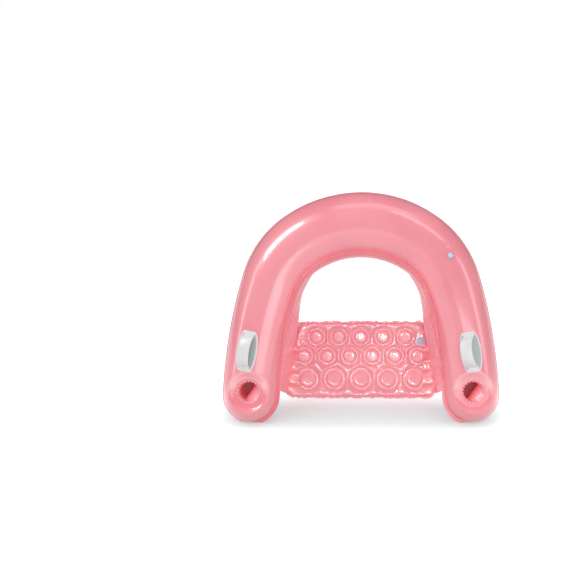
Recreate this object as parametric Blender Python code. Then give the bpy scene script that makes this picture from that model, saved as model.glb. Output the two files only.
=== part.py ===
"""Inflatable pool chair, as a Blender scene.

A U-shaped air tube of two welded vinyl sheets stands on its two arm ends and leans back
on the front edge of a slung bubble seat. Each arm has a cup pocket and a grab handle, and
the tube and the seat each have a push-in air valve. Metres, +Z up, front towards -Y.
"""

import math
from collections import namedtuple

import bmesh
import bpy
from mathutils import Matrix, Vector
from mathutils.geometry import closest_point_on_tri, delaunay_2d_cdt

# Vinyl and the gap between touching pieces
SHEET = 0.00045
GAP = 0.0003

# Centreline of the tube, from the top of the arch down one arm, as three arcs
CROWN_RADIUS = 0.385
CROWN_SWEEP = math.radians(33.4)
SHOULDER_RADIUS = 0.290
SHOULDER_SWEEP = math.radians(38.3)
ARM_RADIUS = 1.610
ARM_SWEEP = math.radians(14.76)
TUBE_CROWN_RADIUS = 0.119
TUBE_ARM_RADIUS = 0.099

# Weld seams of the tube; the inner one is turned towards the front
SEAM_ANGLE = math.radians(39.0)
SEAM_RUN_SHARE = 0.45
SEAM_END_SHARE = 0.3
INNER_FLANGE = 0.013
OUTER_FLANGE = 0.005
FLOOR_DENT = 0.0015
FLANGE_LIFT = 0.0004

# Seat sling: depth behind the tube's middle plane, and its place under the arms
WEB_FOOT_ALONG = 0.022
WEB_LENGTH = 0.520
WEB_WELD = 0.005
WEB_STAND_OFF_SHARE = 1.5
WEB_CURL_SHARE = 0.35
SEAT_DEPTH_FRONT = 0.232
SEAT_DEPTH_BACK = 0.250
SEAT_DROP_FRONT = 0.0472
SEAT_DROP_BACK = 0.1777
SEAT_FRONT_INSET = 0.003
SEAT_BACK_FLARE = 0.0670
SEAT_SAG = 0.018
SEAT_CORNER = 0.030
SEAT_HEM = 0.009
SEAT_FIELD_HEIGHT = 0.016
SEAT_FIELD_REACH = 0.024
SEAT_UNDERSIDE_SHARE = 0.85
BUBBLE_DOME = 0.014
BUBBLE_RING_SHARE = 0.55
FIELD_PITCH = 0.0215
FIELD_MARGIN = 0.0065

# Bubbles: rows from the back of the seat to the front
Row = namedtuple("Row", "count side_room back_share")
BUBBLE_FILL_SHARE = 0.468
BUBBLE_STAGGER_SHARE = 0.43
BUBBLE_BACK_ROOM = 0.0427
BUBBLE_MIDDLE_ROOM = 0.0086
BUBBLE_FRONT_ROOM = 0.0320
BUBBLE_ROWS = (
    Row(5, BUBBLE_BACK_ROOM, 0.1945),
    Row(6, BUBBLE_MIDDLE_ROOM, 0.4543),
    Row(5, BUBBLE_FRONT_ROOM, 0.766),
)

# Cup pockets
CUP_ALONG = 0.015
CUP_DISH_SHARE = 0.77
CUP_DISH_DEPTH = 0.020
CUP_WELD_RADIUS = 0.0465
CUP_MOUTH_RADIUS = 0.0415
CUP_WALL_RADIUS = 0.0350
CUP_FUNNEL_DEPTH = 0.012
CUP_DEPTH = 0.105
CUP_FOOT_RADIUS = 0.026
CUP_PLEAT = 0.0012
CUP_PLEATS = 18
CUP_PLEAT_FADE_SHARE = 0.4
CUP_PATCH_MARGIN = 0.004

# Grab handles
HANDLE_ALONG = 0.1615
HANDLE_TURN_LEFT = math.radians(13.0)
HANDLE_TURN_RIGHT = math.radians(2.5)
HANDLE_LENGTH = 0.143
HANDLE_CORNER = 0.010
HANDLE_PATCH_WIDTH = 0.076
HANDLE_END_WIDTH = 0.052
HANDLE_PATCH_THICKNESS = 0.0015
STRAP_THICKNESS = 0.0020
STRAP_WIDTH = 0.036
STRAP_END_WIDTH = 0.038
STRAP_INSET = 0.007
STRAP_HEIGHT = 0.026
STRAP_LAND = 0.011
STRAP_SHIFT_LEFT = -0.006
STRAP_SHIFT_RIGHT = -0.017
STRAP_SHARPNESS = 2.4
STRAP_FULLNESS = 0.62

# Air valves
VALVE_HOLE_RADIUS = 0.0110
VALVE_FLANGE_RADIUS = 0.0160
VALVE_FLANGE_THICKNESS = 0.0010
VALVE_SEAT_RADIUS = 0.0175
VALVE_BLEND_RADIUS = 0.0270
VALVE_DIMPLE = 0.0016
VALVE_COLLAR_WALL = 0.0014
VALVE_COLLAR_LENGTH = 0.0050
VALVE_STEM_RADIUS = 0.0074
VALVE_BORE_RADIUS = 0.0046
VALVE_STEM_LENGTH = 0.0120
VALVE_LIP_RADIUS = 0.0094
VALVE_LIP_THICKNESS = 0.0014
VALVE_RUNNING_GAP = 0.0002
PLUG_LENGTH = 0.0070
PLUG_TAPER = 0.0005
PLUG_HEAD_RADIUS = 0.0080
PLUG_HEAD_THICKNESS = 0.0016
TETHER_ROOT = 0.0014
TETHER_REACH = 0.0030
TETHER_RISE = 0.00135
TETHER_LIFT = 0.0009
TETHER_TURN = math.radians(60.0)
TETHER_WIDTH = 0.0040
TETHER_THICKNESS = 0.0009
FLAP_RADIUS = 0.0066
FLAP_THICKNESS = 0.0006
MAIN_VALVE_ALONG = 0.3314
MAIN_VALVE_TURN = math.radians(18.0)
SEAT_VALVE_INSET = 0.0255
SEAT_VALVE_CLEARANCE = 0.0045

# Facets
CAP_ROWS = 6
FOOT_ROWS = 2
WEB_ROWS = 10
ARCH_ROWS = 6
FRONT_COLUMNS = 11
BACK_COLUMNS = 12
SEAM_COLUMNS = 3
WEB_DEPTH_ROWS = 4
CUP_SIDES = 36
DISH_SIDES = 24
DISH_STEPS = 3
BUBBLE_SIDES = 12
VALVE_SIDES = 24
HANDLE_ROWS = 12
HANDLE_COLUMNS = 6
EDGE_POINT_PITCH = 0.026
MERGE = 0.00001
SEARCH_STEPS = 600
CORNER_STEPS = 2
CREASE_ANGLE = math.radians(35.0)

FRONT = Vector((0, -1, 0))
UP = Vector((0, 0, 1))
ACROSS = Vector((1, 0, 0))
HALF_TURN = math.pi
QUARTER_TURN = math.pi / 2

PINK = (0.84, 0.20, 0.26)
SEAT_PINK = (0.80, 0.15, 0.21)
WHITE = (0.86, 0.86, 0.87)
VALVE_BLUE = (0.62, 0.70, 0.80)

Station = namedtuple("Station", "centre outward radius axial rise along")


def clear_scene():
    for thing in list(bpy.data.objects):
        bpy.data.objects.remove(thing, do_unlink=True)


def plastic(name, colour, roughness):
    material = bpy.data.materials.new(name)
    material.use_nodes = True
    shader = material.node_tree.nodes["Principled BSDF"]
    shader.inputs["Base Color"].default_value = (*colour, 1)
    shader.inputs["Roughness"].default_value = roughness
    shader.inputs["Metallic"].default_value = 0
    return material


def smoothstep(share):
    share = min(max(share, 0), 1)
    return share * share * (3 - 2 * share)


def arcs():
    return (
        (CROWN_RADIUS, CROWN_SWEEP),
        (SHOULDER_RADIUS, SHOULDER_SWEEP),
        (ARM_RADIUS, ARM_SWEEP),
    )


def half_length():
    """Length of the centreline from the top of the arch to the middle of one arm's end."""
    return sum(radius * sweep for radius, sweep in arcs())


def walk(distance):
    """Place and heading on the right half of the centreline, distance from the top of the arch."""
    across, down, heading = 0, 0, 0
    for radius, sweep in arcs():
        turn = min(max(distance, 0) / radius, sweep)
        across += radius * (math.sin(heading + turn) - math.sin(heading))
        down += radius * (math.cos(heading) - math.cos(heading + turn))
        heading += turn
        distance -= radius * sweep
    return across, down, heading


def tip_height():
    """Height of the top of the arch's centreline over the arm ends' lowest points."""
    return walk(half_length())[1] + TUBE_ARM_RADIUS


def tube_radius(distance):
    """The tube is fattest over the arch and tapers evenly to the arm ends."""
    share = smoothstep(distance / half_length())
    return TUBE_CROWN_RADIUS + (TUBE_ARM_RADIUS - TUBE_CROWN_RADIUS) * share


def station(distance, side, rise=0):
    """A cross-section of the tube; rise is its angle round the dome that ends the arm."""
    across, down, heading = walk(distance)
    centre = Vector((side * across, 0, tip_height() - down))
    outward = Vector((side * math.sin(heading), 0, math.cos(heading)))
    axial = Vector((side * math.cos(heading), 0, -math.sin(heading)))
    radius = tube_radius(distance)
    centre = centre + axial * radius * math.sin(rise)
    return Station(centre, outward, radius * math.cos(rise), axial, rise, half_length() - distance)


def arm_distances():
    """Distances of the sections from the top of the arch to the arm's end, web rows among them."""
    foot = half_length() - WEB_FOOT_ALONG
    head = foot - WEB_LENGTH
    arch = [head * i / ARCH_ROWS for i in range(1, ARCH_ROWS)]
    web = [head + WEB_LENGTH * i / WEB_ROWS for i in range(WEB_ROWS + 1)]
    arm = [foot + WEB_FOOT_ALONG * i / FOOT_ROWS for i in range(1, FOOT_ROWS + 1)]
    return arch, web, arm


def stations():
    """All sections of the tube, from the left arm's end over the arch to the right arm's end."""
    arch, web, arm = arm_distances()
    right = [station(d, 1) for d in arch + web + arm]
    left = [station(d, -1) for d in arch + web + arm]
    caps = [QUARTER_TURN * i / CAP_ROWS for i in range(1, CAP_ROWS + 1)]
    right += [station(half_length(), 1, rise) for rise in caps]
    left += [station(half_length(), -1, rise) for rise in caps]
    return left[::-1] + [station(0, 1)] + right


def web_stations(side):
    return [station(d, side) for d in arm_distances()[1]]


def seam_angle(cut):
    """The inner seam turns further towards the front from the arm's end up to the arch."""
    share = smoothstep(cut.along / (half_length() * SEAM_RUN_SHARE))
    return SEAM_ANGLE * (SEAM_END_SHARE + (1 - SEAM_END_SHARE) * share)


def around(cut, angle):
    """Direction from the tube's centreline at an angle from the inner side towards the front."""
    return FRONT * math.sin(angle) - cut.outward * math.cos(angle)


def tangent(cut, angle):
    return FRONT * math.cos(angle) + cut.outward * math.sin(angle)


def flange_width(cut, width):
    """The weld flange is pressed back where it would reach the floor under the arm's end."""
    if cut.rise == 0:
        return width
    stance = (TUBE_ARM_RADIUS + SHEET / 2 - FLOOR_DENT) / math.cos(floor_angle()) - FLANGE_LIFT
    room = stance / math.sin(cut.rise) - TUBE_ARM_RADIUS
    return min(width, max(room, SHEET))


def flange_point(cut, root, angle, width):
    lean = around(cut, angle) * math.cos(cut.rise) + cut.axial * math.sin(cut.rise)
    return root + lean * flange_width(cut, width)


def tube_row(cut, angles, inner_side, outer_side):
    """One row of a tube sheet: inner flange, the wall between the two seams, outer flange."""
    inner, outer = angles[0], angles[-1]
    wall = [cut.centre + around(cut, angle) * cut.radius for angle in angles]
    if cut.rise > QUARTER_TURN - MERGE:
        wall = [wall[0] + FRONT * inner_side for _ in wall]
    else:
        wall[0] = wall[0] + tangent(cut, inner) * inner_side
        wall[-1] = wall[-1] + tangent(cut, outer) * outer_side
    first = flange_point(cut, wall[0], inner, INNER_FLANGE)
    last = flange_point(cut, wall[-1], outer, OUTER_FLANGE)
    if cut.rise > QUARTER_TURN - MERGE:
        first = last
    return [first] + wall + [last]


def spread(start, end, steps):
    return [start + (end - start) * i / steps for i in range(steps + 1)]


def front_row(cut):
    half = (GAP + SHEET) / 2
    return tube_row(cut, spread(seam_angle(cut), HALF_TURN, FRONT_COLUMNS), half, -half)


def back_row(cut):
    half = (GAP + SHEET) / 2
    turned = spread(seam_angle(cut), 0, SEAM_COLUMNS)[:-1]
    return tube_row(cut, turned + spread(0, -HALF_TURN, BACK_COLUMNS), -half, half)


def nearest_section(point):
    """Centre, radius and outward direction of the tube nearest to a point of its middle plane."""
    side = 1 if point.x >= 0 else -1
    best = None
    for i in range(SEARCH_STEPS + 1):
        cut = station(half_length() * i / SEARCH_STEPS, side)
        flat = Vector((point.x - cut.centre.x, 0, point.z - cut.centre.z))
        if best is None or flat.length < best[0]:
            best = (flat.length, cut)
    return best[1]


def onto_tube(point):
    """The nearest point of the tube's wall."""
    cut = nearest_section(point)
    return cut.centre + (point - cut.centre).normalized() * cut.radius


def front_wall(x, z):
    """Point of the tube's front wall straight in front of x, z in the middle plane."""
    cut = nearest_section(Vector((x, 0, z)))
    flat = math.hypot(x - cut.centre.x, z - cut.centre.z)
    return Vector((x, -math.sqrt(max(cut.radius**2 - flat**2, 0)), z))


def circle(centre, first, second, radius, sides, turn=0):
    steps = [2 * math.pi * i / sides + turn for i in range(sides)]
    return [centre + first * radius * math.cos(a) + second * radius * math.sin(a) for a in steps]


def cup_middle(side):
    return station(half_length() - CUP_ALONG, side).centre


def dish_radius():
    """The dished seat of a cup pocket takes up most of the arm's width."""
    return TUBE_ARM_RADIUS * CUP_DISH_SHARE


def cup_level():
    """How far in front of the middle plane the pocket's weld ring lies."""
    crown = TUBE_ARM_RADIUS - math.sqrt(TUBE_ARM_RADIUS**2 - CUP_WELD_RADIUS**2)
    return TUBE_ARM_RADIUS - crown - CUP_DISH_DEPTH


def cup_rings(side):
    """Rings of the front sheet round a pocket: its cut edge, the flat weld and the dished wall."""
    middle = cup_middle(side)
    level = middle + FRONT * cup_level()
    rings = [circle(level, ACROSS, UP, r, DISH_SIDES) for r in (CUP_MOUTH_RADIUS, CUP_WELD_RADIUS)]
    for i in range(1, DISH_STEPS + 1):
        share = i / DISH_STEPS
        radius = CUP_WELD_RADIUS + (dish_radius() - CUP_WELD_RADIUS) * share
        ring = []
        for point in circle(level, ACROSS, UP, radius, DISH_SIDES):
            free = front_wall(point.x, point.z)
            ring.append(point.lerp(free, smoothstep(share)))
        rings.append(ring)
    return middle, dish_radius() + CUP_PATCH_MARGIN, rings


def frame_of(normal):
    """Two directions square to an axis that isn't upright, the first of them level, and the axis."""
    first = UP.cross(normal).normalized()
    return first, normal.cross(first).normalized(), normal


def main_valve_place():
    cut = station(MAIN_VALVE_ALONG, 1)
    normal = around(cut, QUARTER_TURN + MAIN_VALVE_TURN)
    return cut.centre + normal * (cut.radius - VALVE_DIMPLE), normal


def valve_rings(place, normal, project):
    """Rings of a sheet round a valve: its hole, the flat weld and the ring that meets the wall."""
    first, second, _ = frame_of(normal)
    radii = (VALVE_HOLE_RADIUS, VALVE_SEAT_RADIUS)
    rings = [circle(place, first, second, radius, VALVE_SIDES) for radius in radii]
    outer = circle(place, first, second, VALVE_BLEND_RADIUS, VALVE_SIDES)
    rings.append([project(point) for point in outer])
    return rings


def plan(point):
    return Vector((point.x, point.z))


def inside(point, loop):
    hit = False
    for i, a in enumerate(loop):
        b = loop[i - 1]
        if (a.y > point.y) != (b.y > point.y):
            if point.x < (b.x - a.x) * (point.y - a.y) / (b.y - a.y) + a.x:
                hit = not hit
    return hit


def fill(mesh, loops, loose=(), hole=None):
    """Triangulates between an outer loop and inner loops of points, seen from the front."""
    verts = [vert for loop in loops for vert in loop] + list(loose)
    edges, start = [], 0
    for loop in loops:
        edges += [(start + i, start + (i + 1) % len(loop)) for i in range(len(loop))]
        start += len(loop)
    places = [plan(vert.co) for vert in verts]
    points, _, faces, sources, _, _ = delaunay_2d_cdt(places, edges, [], 0, MERGE)
    border = [plan(vert.co) for vert in loops[0]]
    opening = [plan(vert.co) for vert in hole] if hole else []
    for face in faces:
        a, b, c = (points[i] for i in face)
        middle = (a + b + c) / 3
        longest = max((b - a).length, (c - b).length, (a - c).length)
        flat = abs((b - a).cross(c - a)) < MERGE * longest
        if not flat and inside(middle, border) and not inside(middle, opening):
            mesh.faces.new([verts[sources[i][0]] for i in face])


def border_loop(faces):
    """The closed loop of vertices round a set of faces, in order."""
    chosen = set(faces)
    edges = [e for f in faces for e in f.edges if sum(g in chosen for g in e.link_faces) == 1]
    links = {}
    for edge in edges:
        a, b = edge.verts
        links.setdefault(a, []).append(b)
        links.setdefault(b, []).append(a)
    start = edges[0].verts[0]
    loop, last = [start], None
    while True:
        step = [v for v in links[loop[-1]] if v is not last][0]
        if step is start:
            return loop
        last = loop[-1]
        loop.append(step)


def face_distance(face, point):
    """Distance from a point to the nearest place on a facet."""
    first, second = face.verts[0].co, face.verts[1].co
    gaps = []
    for vert in face.verts[2:]:
        gaps.append((closest_point_on_tri(point, first, second, vert.co) - point).length)
        second = vert.co
    return min(gaps)


def cut_patch(mesh, middle, reach, rings):
    """Replaces the facets within reach of a point by ones that follow rings round a hole."""
    faces = [face for face in mesh.faces if face_distance(face, middle) < reach]
    loop = border_loop(faces)
    bmesh.ops.delete(mesh, geom=faces, context="FACES_ONLY")
    loose = [v for v in mesh.verts if not v.link_faces and v not in loop]
    bmesh.ops.delete(mesh, geom=loose, context="VERTS")
    new = [[mesh.verts.new(point) for point in ring] for ring in rings]
    fill(mesh, [loop] + new, hole=new[0])


def grid(mesh, rows):
    verts = [[mesh.verts.new(point) for point in row] for row in rows]
    for upper, lower in zip(verts, verts[1:]):
        for i in range(len(upper) - 1):
            mesh.faces.new((upper[i], upper[i + 1], lower[i + 1], lower[i]))
    return verts


def tidy_rows(mesh):
    bmesh.ops.remove_doubles(mesh, verts=mesh.verts, dist=MERGE)
    bmesh.ops.dissolve_degenerate(mesh, edges=mesh.edges, dist=MERGE)


def tidy(mesh):
    tidy_rows(mesh)
    bmesh.ops.triangulate(mesh, faces=mesh.faces)
    wires = [edge for edge in mesh.edges if not edge.link_faces]
    bmesh.ops.delete(mesh, geom=wires, context="EDGES")
    bmesh.ops.recalc_face_normals(mesh, faces=mesh.faces)


def finish(mesh, name, material, thickness=0, parent=None):
    """Turns a bmesh into a smooth-shaded object, with a wall where a thickness is given."""
    data = bpy.data.meshes.new(name)
    mesh.to_mesh(data)
    mesh.free()
    thing = bpy.data.objects.new(name, data)
    bpy.context.scene.collection.objects.link(thing)
    data.materials.append(material)
    data.shade_smooth()
    data.set_sharp_from_angle(angle=CREASE_ANGLE)
    if thickness:
        wall = thing.modifiers.new("wall", "SOLIDIFY")
        wall.thickness = thickness
        wall.offset = 0
        wall.use_even_offset = True
    if parent:
        thing.parent = parent
    return thing


def floor_angle():
    """How far the chair leans back to rest on its arm ends and on the hem of its seat."""
    depth, height = hem_foot()
    rise = TUBE_ARM_RADIUS - height
    reach = math.hypot(depth, rise)
    return math.atan2(depth, rise) - math.acos((TUBE_ARM_RADIUS + SHEET / 2 - FLOOR_DENT) / reach)


def floor_plane(lift=0):
    """A point of the floor and its upward direction, as the leaning chair sees them."""
    lean = floor_angle()
    upward = Vector((0, -math.sin(lean), math.cos(lean)))
    tip = station(half_length(), 1).centre
    point = Vector((0, 0, tip.z)) - upward * (TUBE_ARM_RADIUS + SHEET / 2 - FLOOR_DENT - lift)
    return point, upward


def press_flat(mesh):
    """Flattens the arm ends where they stand on the floor."""
    point, upward = floor_plane(SHEET / 2)
    geometry = mesh.verts[:] + mesh.edges[:] + mesh.faces[:]
    bmesh.ops.bisect_plane(mesh, geom=geometry, plane_co=point, plane_no=upward, dist=MERGE)
    for vert in mesh.verts:
        below = (vert.co - point).dot(upward)
        if below < 0:
            vert.co -= upward * below


def tube_front_sheet(parent):
    mesh = bmesh.new()
    grid(mesh, [front_row(cut) for cut in stations()])
    tidy_rows(mesh)
    for side in (-1, 1):
        middle, reach, rings = cup_rings(side)
        cut_patch(mesh, middle + FRONT * TUBE_ARM_RADIUS, math.hypot(reach, CUP_DISH_DEPTH), rings)
    place, normal = main_valve_place()
    rings = valve_rings(place, normal, onto_tube)
    cut_patch(mesh, place, VALVE_BLEND_RADIUS + CUP_PATCH_MARGIN, rings)
    tidy(mesh)
    finish(mesh, "tube_front_sheet", plastic("front_vinyl", PINK, 0.22), SHEET, parent)


def tube_back_sheet(parent):
    mesh = bmesh.new()
    grid(mesh, [back_row(cut) for cut in stations()])
    tidy(mesh)
    press_flat(mesh)
    tidy(mesh)
    finish(mesh, "tube_back_sheet", plastic("back_vinyl", PINK, 0.22), SHEET, parent)


def web_rim(cut):
    """Where the web leaves the tube: just off the inner side of its wall."""
    return cut.centre - cut.outward * (cut.radius + GAP + SHEET)


def seat_edge(side):
    """The seat's long edge under one arm, one point for each row of the web, back to front."""
    cuts = web_stations(side)
    back, front = web_rim(cuts[0]), web_rim(cuts[-1])
    start = Vector((abs(back.x) + SEAT_BACK_FLARE, 0, back.z - SEAT_DROP_BACK))
    end = Vector((abs(front.x) - SEAT_FRONT_INSET, 0, front.z - SEAT_DROP_FRONT))
    points = []
    for i in range(len(cuts)):
        point = start.lerp(end, i / (len(cuts) - 1))
        points.append(Vector((side * point.x, 0, point.z)))
    return points


def seat_corners():
    """Back and front corner of the seat on the right, in the tube's middle plane."""
    edge = seat_edge(1)
    return edge[0], edge[-1]


def seat_point(across, back_share):
    """A point in plan from its share of the half width and of the length from back to front."""
    back, front = seat_corners()
    half = back.x + (front.x - back.x) * back_share
    return Vector((across * half, 0, back.z + (front.z - back.z) * back_share))


def seat_depth(point):
    """Depth of the sling behind the tube's middle plane."""
    back, front = seat_corners()
    share = min(max((back.z - point.z) / (back.z - front.z), 0), 1)
    half = back.x + (front.x - back.x) * share
    hollow = max(1 - (point.x / half) ** 2, 0) * 4 * share * (1 - share)
    return SEAT_DEPTH_BACK + (SEAT_DEPTH_FRONT - SEAT_DEPTH_BACK) * share + SEAT_SAG * hollow


def hem_foot():
    """Depth and height of the hem's lowest corner, on which the seat rests."""
    front = seat_corners()[1]
    return SEAT_DEPTH_FRONT + GAP / 2 + SHEET, front.z - SEAT_HEM


def row_radius(index):
    """The radius of a row's rings, as large as the rows and the width next to them allow."""
    row = BUBBLE_ROWS[index]
    back, front = seat_corners()
    others = [other for other in BUBBLE_ROWS if other is not row]
    nearest = min(abs(other.back_share - row.back_share) for other in others)
    room = seat_point(1, row.back_share).x - row.side_room
    across = room / ((row.count - 1) / (2 * BUBBLE_FILL_SHARE) + 1)
    stagger = (room - across) / (row.count - 1)
    along = BUBBLE_STAGGER_SHARE * math.hypot(nearest * (back.z - front.z), stagger)
    return min(along, across)


def bubbles():
    """Centre and radius of every round weld, row by row."""
    places = []
    for index, row in enumerate(BUBBLE_ROWS):
        edge = seat_point(1, row.back_share)
        radius = row_radius(index)
        outermost = edge.x - row.side_room - radius
        for i in range(row.count):
            across = outermost * (2 * i / (row.count - 1) - 1)
            places.append((Vector((across, 0, edge.z)), radius))
    return places


def seat_outline(spread_out=0):
    """Rounded outline of the seat in plan, as evenly spaced points, anticlockwise from the front."""
    back, front = seat_corners()
    corners = [
        Vector((-back.x, 0, back.z)),
        Vector((-front.x, 0, front.z)),
        Vector((front.x, 0, front.z)),
        Vector((back.x, 0, back.z)),
    ]
    points = []
    for i, corner in enumerate(corners):
        before = (corners[i - 1] - corner).normalized()
        after = (corners[(i + 1) % len(corners)] - corner).normalized()
        half = before.angle(after) / 2
        centre = corner + (before + after).normalized() * SEAT_CORNER / math.sin(half)
        start = corner + before * SEAT_CORNER / math.tan(half) - centre
        sweep = math.pi - 2 * half
        for step in range(CORNER_STEPS + 1):
            turned = Matrix.Rotation(-sweep * step / CORNER_STEPS, 3, "Y") @ start
            points.append(centre + turned * (SEAT_CORNER + spread_out) / SEAT_CORNER)
    return points


def paired_outlines():
    """The chamber's weld line and the hem's edge, point by point side by side."""
    inner, outer = seat_outline(), seat_outline(SEAT_HEM)
    weld, hem = [], []
    for i, point in enumerate(inner):
        after = (i + 1) % len(inner)
        steps = max(1, math.ceil((inner[after] - point).length / EDGE_POINT_PITCH - MERGE))
        weld += [point.lerp(inner[after], step / steps) for step in range(steps)]
        hem += [outer[i].lerp(outer[after], step / steps) for step in range(steps)]
    return weld, hem


def distance_to_side(point, loop):
    best = None
    for i, a in enumerate(loop):
        b = loop[i - 1]
        along = min(max((point - a).dot(b - a) / (b - a).length_squared, 0), 1)
        gap = (point - a.lerp(b, along)).length
        best = gap if best is None else min(best, gap)
    return best


def puff(point, weld):
    """How far the inflated sheet stands off the sling's middle, zero on every weld."""
    gap = distance_to_side(point, weld)
    for centre, radius in bubbles():
        reach = (point - centre).length
        if reach <= radius:
            return BUBBLE_DOME * math.cos(QUARTER_TURN * min(reach / radius, 1))
        gap = min(gap, reach - radius)
    return SEAT_FIELD_HEIGHT * math.sin(QUARTER_TURN * min(gap / SEAT_FIELD_REACH, 1))


def field_points(weld, clear=()):
    """Loose points between the round welds, on a staggered grid clear of every weld."""
    back, front = seat_corners()
    points, row = [], 0
    level = front.z + FIELD_PITCH / 2
    while level < back.z:
        across = -front.x + (row % 2) * FIELD_PITCH / 2
        while across < front.x:
            point = Vector((across, 0, level))
            clear_of_rings = all(
                (point - centre).length > radius + FIELD_MARGIN for centre, radius in bubbles()
            )
            clear_of_hole = all((point - centre).length > reach for centre, reach in clear)
            border = [plan(p) for p in weld]
            roomy = distance_to_side(point, weld) > FIELD_MARGIN
            if inside(plan(point), border) and roomy and clear_of_rings and clear_of_hole:
                points.append(point)
            across += FIELD_PITCH
        level += FIELD_PITCH * math.sqrt(3) / 2
        row += 1
    return points


def seat_valve_place():
    weld, _ = paired_outlines()
    middle = seat_point(1, BUBBLE_ROWS[1].back_share)
    up = middle.z + row_radius(1) + VALVE_SEAT_RADIUS + SEAT_VALVE_CLEARANCE
    back, front = seat_corners()
    point = seat_point(1, (back.z - up) / (back.z - front.z))
    point.x -= SEAT_VALVE_INSET
    level = seat_depth(point) - (GAP + SHEET) / 2 - puff(point, weld)
    return Vector((point.x, level + VALVE_DIMPLE, point.z)), FRONT.copy()


def seat_sheet(name, material, side, share, parent, hole=False):
    """One sheet of the seat's chamber; side is -1 for the upper sheet and 1 for the lower one."""
    weld, hem = paired_outlines()
    half = side * (GAP + SHEET) / 2

    def lifted(point):
        level = seat_depth(point) + half + side * share * puff(point, weld)
        return Vector((point.x, level, point.z))

    mesh = bmesh.new()
    border = [mesh.verts.new(lifted(point)) for point in weld]
    fringe = [mesh.verts.new(Vector((p.x, seat_depth(p) + half, p.z))) for p in hem]
    for i in range(len(border)):
        mesh.faces.new((border[i - 1], border[i], fringe[i], fringe[i - 1]))
    loops, loose, clear, opening = [border], [], [], None
    for centre, radius in bubbles():
        ring = circle(centre, ACROSS, UP, radius, BUBBLE_SIDES)
        dome = circle(centre, ACROSS, UP, radius * BUBBLE_RING_SHARE, BUBBLE_SIDES // 2)
        loops.append([mesh.verts.new(lifted(point)) for point in ring])
        loose += [mesh.verts.new(lifted(point)) for point in dome + [centre]]
    if hole:
        place, normal = seat_valve_place()
        reach = VALVE_SEAT_RADIUS + FIELD_MARGIN
        clear.append((Vector((place.x, 0, place.z)), reach))
        rings = valve_rings(place, normal, lifted)[:2]
        opening = [mesh.verts.new(point) for point in rings[0]]
        loops += [opening, [mesh.verts.new(point) for point in rings[1]]]
    loose += [mesh.verts.new(lifted(point)) for point in field_points(weld, clear)]
    fill(mesh, loops, loose, opening)
    tidy(mesh)
    finish(mesh, name, material, SHEET, parent)


def seat_sheets(parent):
    seat_sheet("seat_top_sheet", plastic("seat_vinyl", SEAT_PINK, 0.2), -1, 1, parent, True)
    under = plastic("seat_underside_vinyl", SEAT_PINK, 0.25)
    seat_sheet("seat_bottom_sheet", under, 1, SEAT_UNDERSIDE_SHARE, parent)


def seat_web(name, side, parent):
    """The single sheet that hangs one side of the seat from the inner side of an arm."""
    edges = seat_edge(side)
    rows = []
    stand_off = (SHEET + GAP) * WEB_STAND_OFF_SHARE
    for index, (cut, edge) in enumerate(zip(web_stations(side), edges)):
        rim = web_rim(cut)
        curl = smoothstep(1 - index / WEB_ROWS / WEB_CURL_SHARE)
        floor_level = seat_depth(edge) - stand_off
        foot = Vector((edge.x + side * (SHEET + GAP), floor_level, edge.z))
        row = [rim + FRONT * WEB_WELD, rim - FRONT * WEB_WELD]
        for i in range(1, WEB_DEPTH_ROWS + 1):
            share = i / WEB_DEPTH_ROWS
            inward = share * share + (1 - (1 - share) ** 2 - share * share) * curl
            point = rim.lerp(foot, inward)
            point.y = WEB_WELD + (floor_level - WEB_WELD) * share
            point.z = rim.z + (foot.z - rim.z) * share
            row.append(point)
        row.append(Vector((edge.x + side * (SEAT_HEM - SHEET), floor_level, edge.z)))
        rows.append(row)
    mesh = bmesh.new()
    grid(mesh, rows)
    tidy(mesh)
    finish(mesh, name, plastic(name + "_vinyl", SEAT_PINK, 0.22), SHEET, parent)


def revolve(mesh, profile, middle, axes, sides, pleat=0, pleats=0):
    """Turns radius, depth and pleat shares round the last axis; depth counts against it."""
    first, second, normal = axes
    rows = []
    for radius, depth, fold in profile:
        row = []
        for i in range(sides):
            angle = 2 * math.pi * i / sides
            wave = fold * pleat * math.cos(pleats * angle)
            reach = radius + wave
            across = first * reach * math.cos(angle) + second * reach * math.sin(angle)
            row.append(middle + across - normal * depth)
        rows.append([mesh.verts.new(point) for point in row])
    for upper, lower in zip(rows, rows[1:]):
        for i in range(sides):
            mesh.faces.new((upper[i - 1], upper[i], lower[i], lower[i - 1]))
    return rows


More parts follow.
